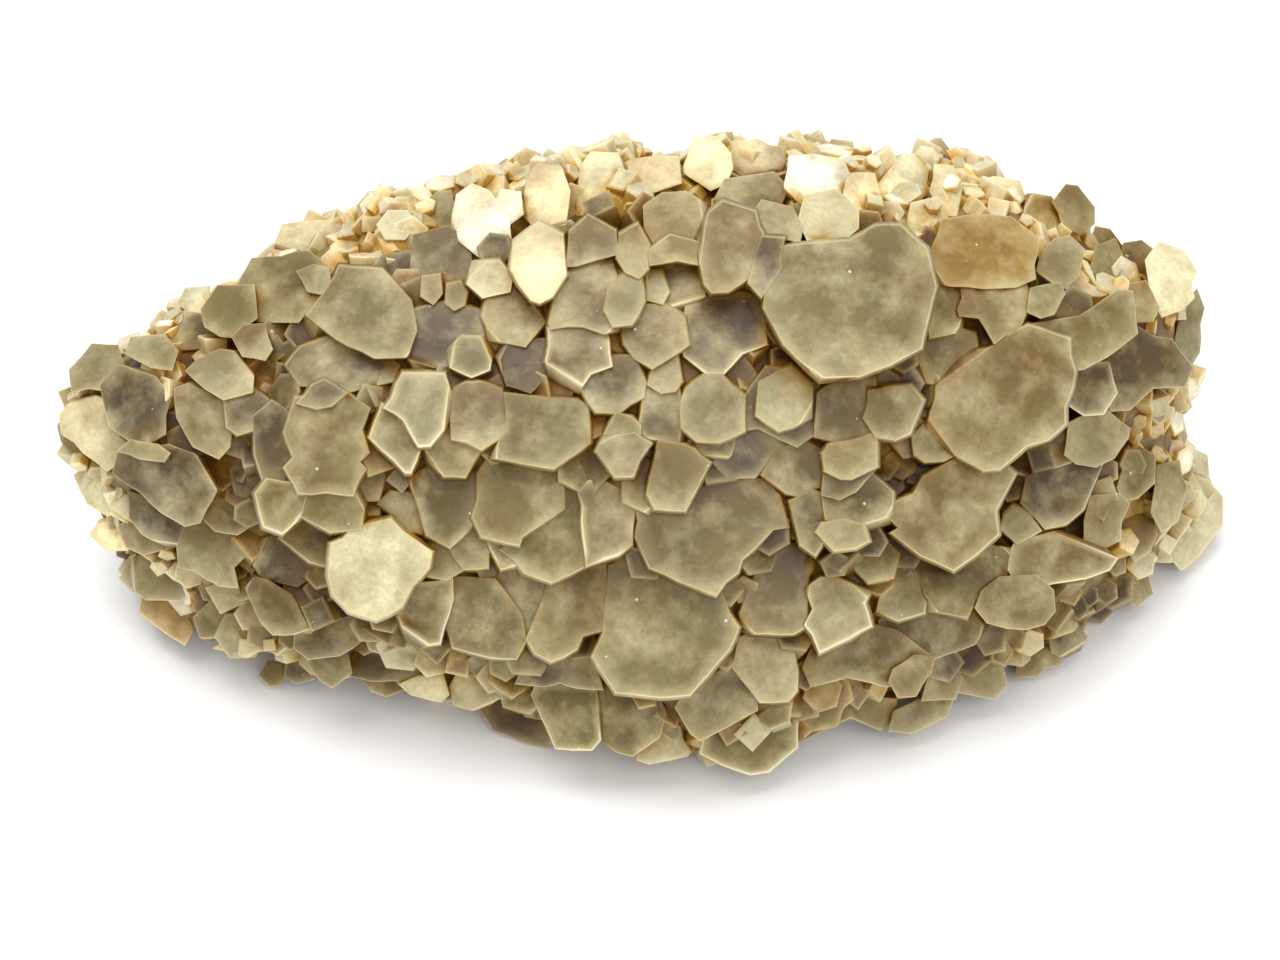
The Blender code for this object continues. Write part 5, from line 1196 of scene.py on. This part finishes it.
@dataclass(frozen=True)
class FrostedCalcite:
    """Calcite with naturally etched faces: milky and see-through at once, with a matt bloom.

    Light enters, scatters a few millimetres down and comes out honey-coloured. Over that the colour
    carries painted light and shade: a pale glow and a bright line along thin edges, and olive-brown
    painted shade in the hollows that are closed to the sky.
    """

    # edge is the painted bright line of light on the rims; milk is the milky mottling and also the painted glow
    # near the edges; the hollow colour is painted shade, multiplied into hollows that are closed to the sky.
    edge: str = "E6DFC2"
    milk: str = "D6CDAC"
    depths: str = "83631F"
    hollow_shade: str = "E8C97C"
    stain: str = "6B4A22"
    speck: str = "F2EFE4"
    roughness: float = 0.42
    ior: float = 1.6
    see_through: float = 0.1
    scatter_depth: float = 0.0016
    absorb: str = "D8B676"
    absorb_density: float = 45.0
    cloud_size: float = 5.5
    milk_size: float = 6.0
    grain_size: float = 0.7
    fleck_spacing: float = 2.2
    bloom_size: float = 0.35
    depth_of_colour: float = 1.37

    def material(self) -> bpy.types.Material:
        """Build the frosted calcite's nodes.

        Returns:
            The material.
        """
        made = bpy.data.materials.new("frosted_calcite")
        made.use_nodes = True
        tree = made.node_tree
        tree.nodes.clear()
        place = add_node(tree, "ShaderNodeTexCoord").outputs["Object"]
        growth = add_node(tree, "ShaderNodeAttribute", {"attribute_name": "growth"})
        open_air = add_node(tree, "ShaderNodeAttribute", {"attribute_name": "openness"}).outputs["Fac"]
        thick = add_node(
            tree, "ShaderNodeTexNoise", {"Scale": 1 / (self.cloud_size * MM), "Detail": 3.0, "Roughness": 0.55},
            {"Vector": place},
        ).outputs["Fac"]
        thick_share = add_node(
            tree, "ShaderNodeMapRange", {"From Min": 0.42, "From Max": 0.68, "To Min": 0.0, "To Max": 0.5},
            {"Value": thick},
        ).outputs["Result"]
        warmed = self.blend(tree, thick_share, growth.outputs["Color"], self.depths)
        milk = add_node(
            tree, "ShaderNodeTexNoise", {"Scale": 1 / (self.milk_size * MM), "Detail": 5.0, "Roughness": 0.6},
            {"Vector": place},
        ).outputs["Fac"]
        milk_share = add_node(
            tree, "ShaderNodeMapRange", {"From Min": 0.44, "From Max": 0.68, "To Min": 0.0, "To Max": 0.58},
            {"Value": milk},
        ).outputs["Result"]
        body = self.blend(tree, milk_share, warmed, self.milk)
        grain = add_node(
            tree, "ShaderNodeTexNoise", {"Scale": 1 / (self.grain_size * MM), "Detail": 3.0, "Roughness": 0.7},
            {"Vector": place},
        ).outputs["Fac"]
        grain_gain = add_node(
            tree, "ShaderNodeMapRange", {"From Min": 0.3, "From Max": 0.7, "To Min": 0.88, "To Max": 1.12},
            {"Value": grain},
        ).outputs["Result"]
        body = add_node(
            tree, "ShaderNodeVectorMath", {"operation": "SCALE"}, {0: body, "Scale": grain_gain}
        ).outputs["Vector"]
        # Painted glow of light near the edges, by the edge share of the growth attribute.
        glow_share = add_node(
            tree, "ShaderNodeMath", {"operation": "MULTIPLY", 1: 0.75}, {0: growth.outputs["Alpha"]}
        ).outputs["Value"]
        glowing = self.blend(tree, glow_share, body, self.milk)
        # Painted bright line of light along the rims, held back where the surface is closed to the sky.
        rim_share = add_node(
            tree, "ShaderNodeMapRange", {"From Min": 0.7, "From Max": 1.0, "To Min": 0.1, "To Max": 0.95},
            {"Value": growth.outputs["Alpha"]},
        ).outputs["Result"]
        # Painted shade: points closed to the sky are multiplied towards the hollow colour.
        closed = add_node(
            tree, "ShaderNodeMapRange", {"From Min": 0.35, "From Max": 0.94, "To Min": 1.0, "To Max": 0.0},
            {"Value": open_air},
        ).outputs["Result"]
        sunk = self.blend(tree, closed, glowing, self.hollow_shade, "MULTIPLY")
        opened = add_node(tree, "ShaderNodeMath", {"operation": "SUBTRACT", 0: 1.0}, {1: closed}).outputs["Value"]
        lit_rim = add_node(
            tree, "ShaderNodeMath", {"operation": "MULTIPLY"}, {0: rim_share, 1: opened}
        ).outputs["Value"]
        deep = self.blend(tree, lit_rim, sunk, self.edge)
        grit = add_node(
            tree, "ShaderNodeTexVoronoi", {"Scale": 1 / (self.fleck_spacing * MM)}, {"Vector": place}
        )
        chosen = add_node(
            tree, "ShaderNodeMapRange", {"From Min": 0.5, "From Max": 0.95, "To Min": 0.0, "To Max": 0.12},
            {"Value": grit.outputs["Color"]},
        ).outputs["Result"]
        inside = add_node(
            tree, "ShaderNodeMath", {"operation": "SUBTRACT"}, {0: chosen, 1: grit.outputs["Distance"]}
        ).outputs["Value"]
        specks = add_node(
            tree, "ShaderNodeMapRange", {"From Min": 0.0, "From Max": 0.06, "To Min": 0.0, "To Max": 0.75},
            {"Value": inside},
        ).outputs["Result"]
        flecked = self.blend(tree, specks, deep, self.speck)
        rust = add_node(
            tree, "ShaderNodeTexNoise", {"Scale": 1 / (9 * MM), "Detail": 4.0, "Roughness": 0.65}, {"Vector": place}
        ).outputs["Fac"]
        rust_share = add_node(
            tree, "ShaderNodeMapRange", {"From Min": 0.58, "From Max": 0.7, "To Min": 0.0, "To Max": 0.7},
            {"Value": rust},
        ).outputs["Result"]
        stained_share = add_node(
            tree, "ShaderNodeMath", {"operation": "MULTIPLY"}, {0: rust_share, 1: closed}
        ).outputs["Value"]
        colour = self.blend(tree, stained_share, flecked, self.stain)
        deepened = add_node(
            tree, "ShaderNodeGamma", {"Gamma": self.depth_of_colour}, {"Color": colour}
        ).outputs["Color"]
        bloom = add_node(
            tree, "ShaderNodeTexNoise", {"Scale": 1 / (self.bloom_size * MM), "Detail": 2.0}, {"Vector": place}
        ).outputs["Fac"]
        swell = add_node(
            tree, "ShaderNodeTexNoise", {"Scale": 1 / (3.2 * MM), "Detail": 2.0}, {"Vector": place}
        ).outputs["Fac"]
        waved = add_node(
            tree, "ShaderNodeBump", {"Strength": 0.35, "Distance": 0.4 * MM}, {"Height": swell}
        ).outputs["Normal"]
        frost = add_node(
            tree, "ShaderNodeBump", {"Strength": 0.25, "Distance": 0.05 * MM}, {"Height": bloom, "Normal": waved}
        ).outputs["Normal"]
        shader = add_node(
            tree,
            "ShaderNodeBsdfPrincipled",
            {
                "Roughness": self.roughness,
                "IOR": self.ior,
                "Transmission Weight": self.see_through,
                "Subsurface Weight": 0.85,
                "Subsurface Radius": (1.0, 0.66, 0.3),
                "Subsurface Scale": self.scatter_depth,
                "Specular IOR Level": 0.2,
            },
            {"Base Color": deepened, "Normal": frost},
        )
        volume = add_node(
            tree, "ShaderNodeVolumeAbsorption", {"Color": (*linear(self.absorb), 1), "Density": self.absorb_density}
        )
        add_node(
            tree,
            "ShaderNodeOutputMaterial",
            links={"Surface": shader.outputs["BSDF"], "Volume": volume.outputs["Volume"]},
        )
        return made

    def blend(self, tree: bpy.types.NodeTree, share, under, over: str, kind: str = "MIX"):
        """Mix a colour in the tree with a fixed one by a share from 0 to 1."""
        node = add_node(
            tree, "ShaderNodeMix", {"data_type": "RGBA", "blend_type": kind, "clamp_factor": True},
        )
        tree.links.new(share, node.inputs[0])
        tree.links.new(under, node.inputs[6])
        node.inputs[7].default_value = (*linear(over), 1)
        return node.outputs[2]


@dataclass
class Cluster:
    """The whole specimen: the mass, its tabular crystals, its rear blocks and its fine crystals."""

    sky_rays: int = 24
    sky_reach: float = 14.0

    def seated(self) -> list[TabularCrystal]:
        """The tabular crystals, each resting on those behind it."""
        placed: list[TabularCrystal] = []
        for tint, tone, turn, outline in TABULAR:
            crystal = TabularCrystal(Tint[tint.upper()], tone, turn, outline)
            crystal.seat_on(placed)
            placed.append(crystal)
        return placed

    def build(self) -> bpy.types.Object:
        """Model every crystal and join them all into one body.

        Returns:
            The specimen.
        """
        rng = random.Random(SEED)
        look = random.Random(SEED + 1)
        base = MASS.build()
        tabular = self.seated()
        bare = len(base.data.vertices)
        paint_growth(base.data, [shaded(Tint.HONEY, -0.5, look)] * bare, [0.0] * bare)
        self.unite(base, [block.build(rng, look) for block in RearBlock.spread()])
        fine = FineGrowth(tabular)
        grown = fine.grow(random.Random(SEED + 2), base)
        groups = fine.build(grown)
        LOG.info("%d tabular, %d fine in %d groups", len(tabular), len(grown), len(groups))
        self.unite(base, [crystal.build(look) for crystal in tabular] + groups)
        base.name = "calcite_specimen"
        base.data.name = "calcite_specimen"
        self.trim(base.data)
        self.feel_sky(base.data)
        return base

    def unite(self, base: bpy.types.Object, operands: Sequence[bpy.types.Object]) -> None:
        """Join the crystals to the mass, and cut the underside flat where it meets the table."""
        growth = bpy.data.collections.new("growth")
        bpy.context.scene.collection.children.link(growth)
        for piece in operands:
            for home in piece.users_collection:
                home.objects.unlink(piece)
            growth.objects.link(piece)
        bpy.ops.mesh.primitive_cube_add(size=0.4, location=(0, 0, -0.2))
        slab = bpy.context.object
        bpy.ops.object.transform_apply(location=True, rotation=True, scale=True)
        join = base.modifiers.new("grown together", "BOOLEAN")
        join.operation, join.solver, join.operand_type = "UNION", "MANIFOLD", "COLLECTION"
        join.collection = growth
        rest = base.modifiers.new("rest", "BOOLEAN")
        rest.operation, rest.solver, rest.object = "DIFFERENCE", "MANIFOLD", slab
        bpy.ops.object.select_all(action="DESELECT")
        bpy.context.view_layer.objects.active = base
        base.select_set(True)
        for modifier in list(base.modifiers):
            bpy.ops.object.modifier_apply(modifier=modifier.name)
        for piece in (*operands, slab):
            bpy.data.objects.remove(piece)
        bpy.data.collections.remove(growth)

    def trim(self, mesh: bpy.types.Mesh) -> None:
        """Drop sealed hollows inside, keep the specimen in the solid's box and smooth its worn edges."""
        body = bmesh.new()
        body.from_mesh(mesh)
        unseen = set(body.faces)
        shells = []
        while unseen:
            front = [unseen.pop()]
            shell = list(front)
            while front:
                for edge in front.pop().edges:
                    for other in edge.link_faces:
                        if other in unseen:
                            unseen.discard(other)
                            front.append(other)
                            shell.append(other)
            shells.append(shell)
        largest = max(shells, key=len)
        spare = [face for shell in shells if shell is not largest for face in shell]
        bmesh.ops.delete(body, geom=spare, context="FACES")
        low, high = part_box(NODE)
        for vert in body.verts:
            for axis in range(3):
                vert.co[axis] = max(low[axis], min(high[axis], vert.co[axis]))
        body.to_mesh(mesh)
        body.free()
        mesh.shade_smooth()
        mesh.set_sharp_from_angle(angle=math.radians(32))

    def feel_sky(self, mesh: bpy.types.Mesh) -> None:
        """Write how open to the light each point is, from rays sent out around its normal."""
        tree = BVHTree.FromPolygons(
            [vert.co.copy() for vert in mesh.vertices], [tuple(face.vertices) for face in mesh.polygons]
        )
        rng = random.Random(SEED + 3)
        fan = []
        for _ in range(self.sky_rays):
            angle, rise = rng.uniform(0, math.tau), math.sqrt(rng.random())
            ring = math.sqrt(1 - rise * rise)
            fan.append(Vector((ring * math.cos(angle), ring * math.sin(angle), rise)))
        values = []
        for vert in mesh.vertices:
            turn = vert.normal.to_track_quat("Z", "Y")
            start = vert.co + vert.normal * 0.15 * MM
            free = sum(tree.ray_cast(start, turn @ ray, self.sky_reach * MM)[0] is None for ray in fan)
            values.append(free / len(fan))
        layer = mesh.attributes.new("openness", "FLOAT", "POINT")
        layer.data.foreach_set("value", np.array(values, np.float32))


@dataclass
class Studio:
    """The pale table, the soft light and the camera."""

    aim: Corner = (-0.26, -3.23)
    picture_width: float = 165.2
    sensor: float = 36.0

    def table(self) -> None:
        """Add the matt white table."""
        bpy.ops.mesh.primitive_plane_add(size=4.0, location=(0, 0, 0))
        floor = bpy.context.object
        floor.name = "table"
        made = bpy.data.materials.new("white_card")
        made.use_nodes = True
        shader = made.node_tree.nodes["Principled BSDF"]
        shader.inputs["Base Color"].default_value = (*linear("F2F2F1"), 1)
        shader.inputs["Roughness"].default_value = 0.7
        shader.inputs["Specular IOR Level"].default_value = 0.2
        floor.data.materials.append(made)

    def lamp(self, name: str, spot: Vector, size: float, watts: float) -> None:
        """Add one soft box that faces the specimen."""
        bpy.ops.object.light_add(type="AREA", location=spot)
        light = bpy.context.object
        light.name = name
        light.data.shape = "SQUARE"
        light.data.size = size
        light.data.energy = watts
        light.rotation_euler = (Vector((0, 0, 0.03)) - spot).to_track_quat("-Z", "Y").to_euler()

    def camera(self) -> None:
        """Add the camera where the photograph was taken from."""
        lens = self.sensor * SIGHT.eye_distance / self.picture_width
        data = bpy.data.cameras.new("photograph")
        data.sensor_width, data.lens = self.sensor, lens
        data.clip_start, data.clip_end = 0.01, 10.0
        camera = bpy.data.objects.new("photograph", data)
        bpy.context.scene.collection.objects.link(camera)
        camera.location = SIGHT.eye() * MM
        towards = SIGHT.point(*self.aim, 0) * MM - camera.location
        camera.rotation_euler = towards.to_track_quat("-Z", "Y").to_euler()
        bpy.context.scene.camera = camera

    def light(self) -> None:
        """Set the soft light: a bright pale room, a soft box above and one in front."""
        world = bpy.data.worlds.new("pale_room")
        bpy.context.scene.world = world
        world.use_nodes = True
        sky = world.node_tree.nodes["Background"]
        sky.inputs["Color"].default_value = (*linear("FAFAFF"), 1)
        sky.inputs["Strength"].default_value = 0.74
        self.lamp("soft_box_above", Vector((-0.12, -0.02, 0.85)), 0.7, 6.0)
        self.lamp("soft_box_front", Vector((0.2, -0.75, 0.6)), 0.6, 4.4)
        bpy.context.scene.view_settings.view_transform = "Standard"

    def build(self) -> None:
        """Set up the whole studio."""
        self.table()
        self.light()
        self.camera()


def main() -> None:
    """Build the specimen and its studio, and say where each piece goes."""
    logging.basicConfig(level=logging.INFO, format="%(message)s")
    Studio().build()
    specimen = Cluster().build()
    specimen.data.materials.clear()
    specimen.data.materials.append(FrostedCalcite().material())
    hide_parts(NODE)
    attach(specimen, "root")
    LOG.info("%s: %d faces", specimen.name, len(specimen.data.polygons))


if __name__ == "__main__":
    main()
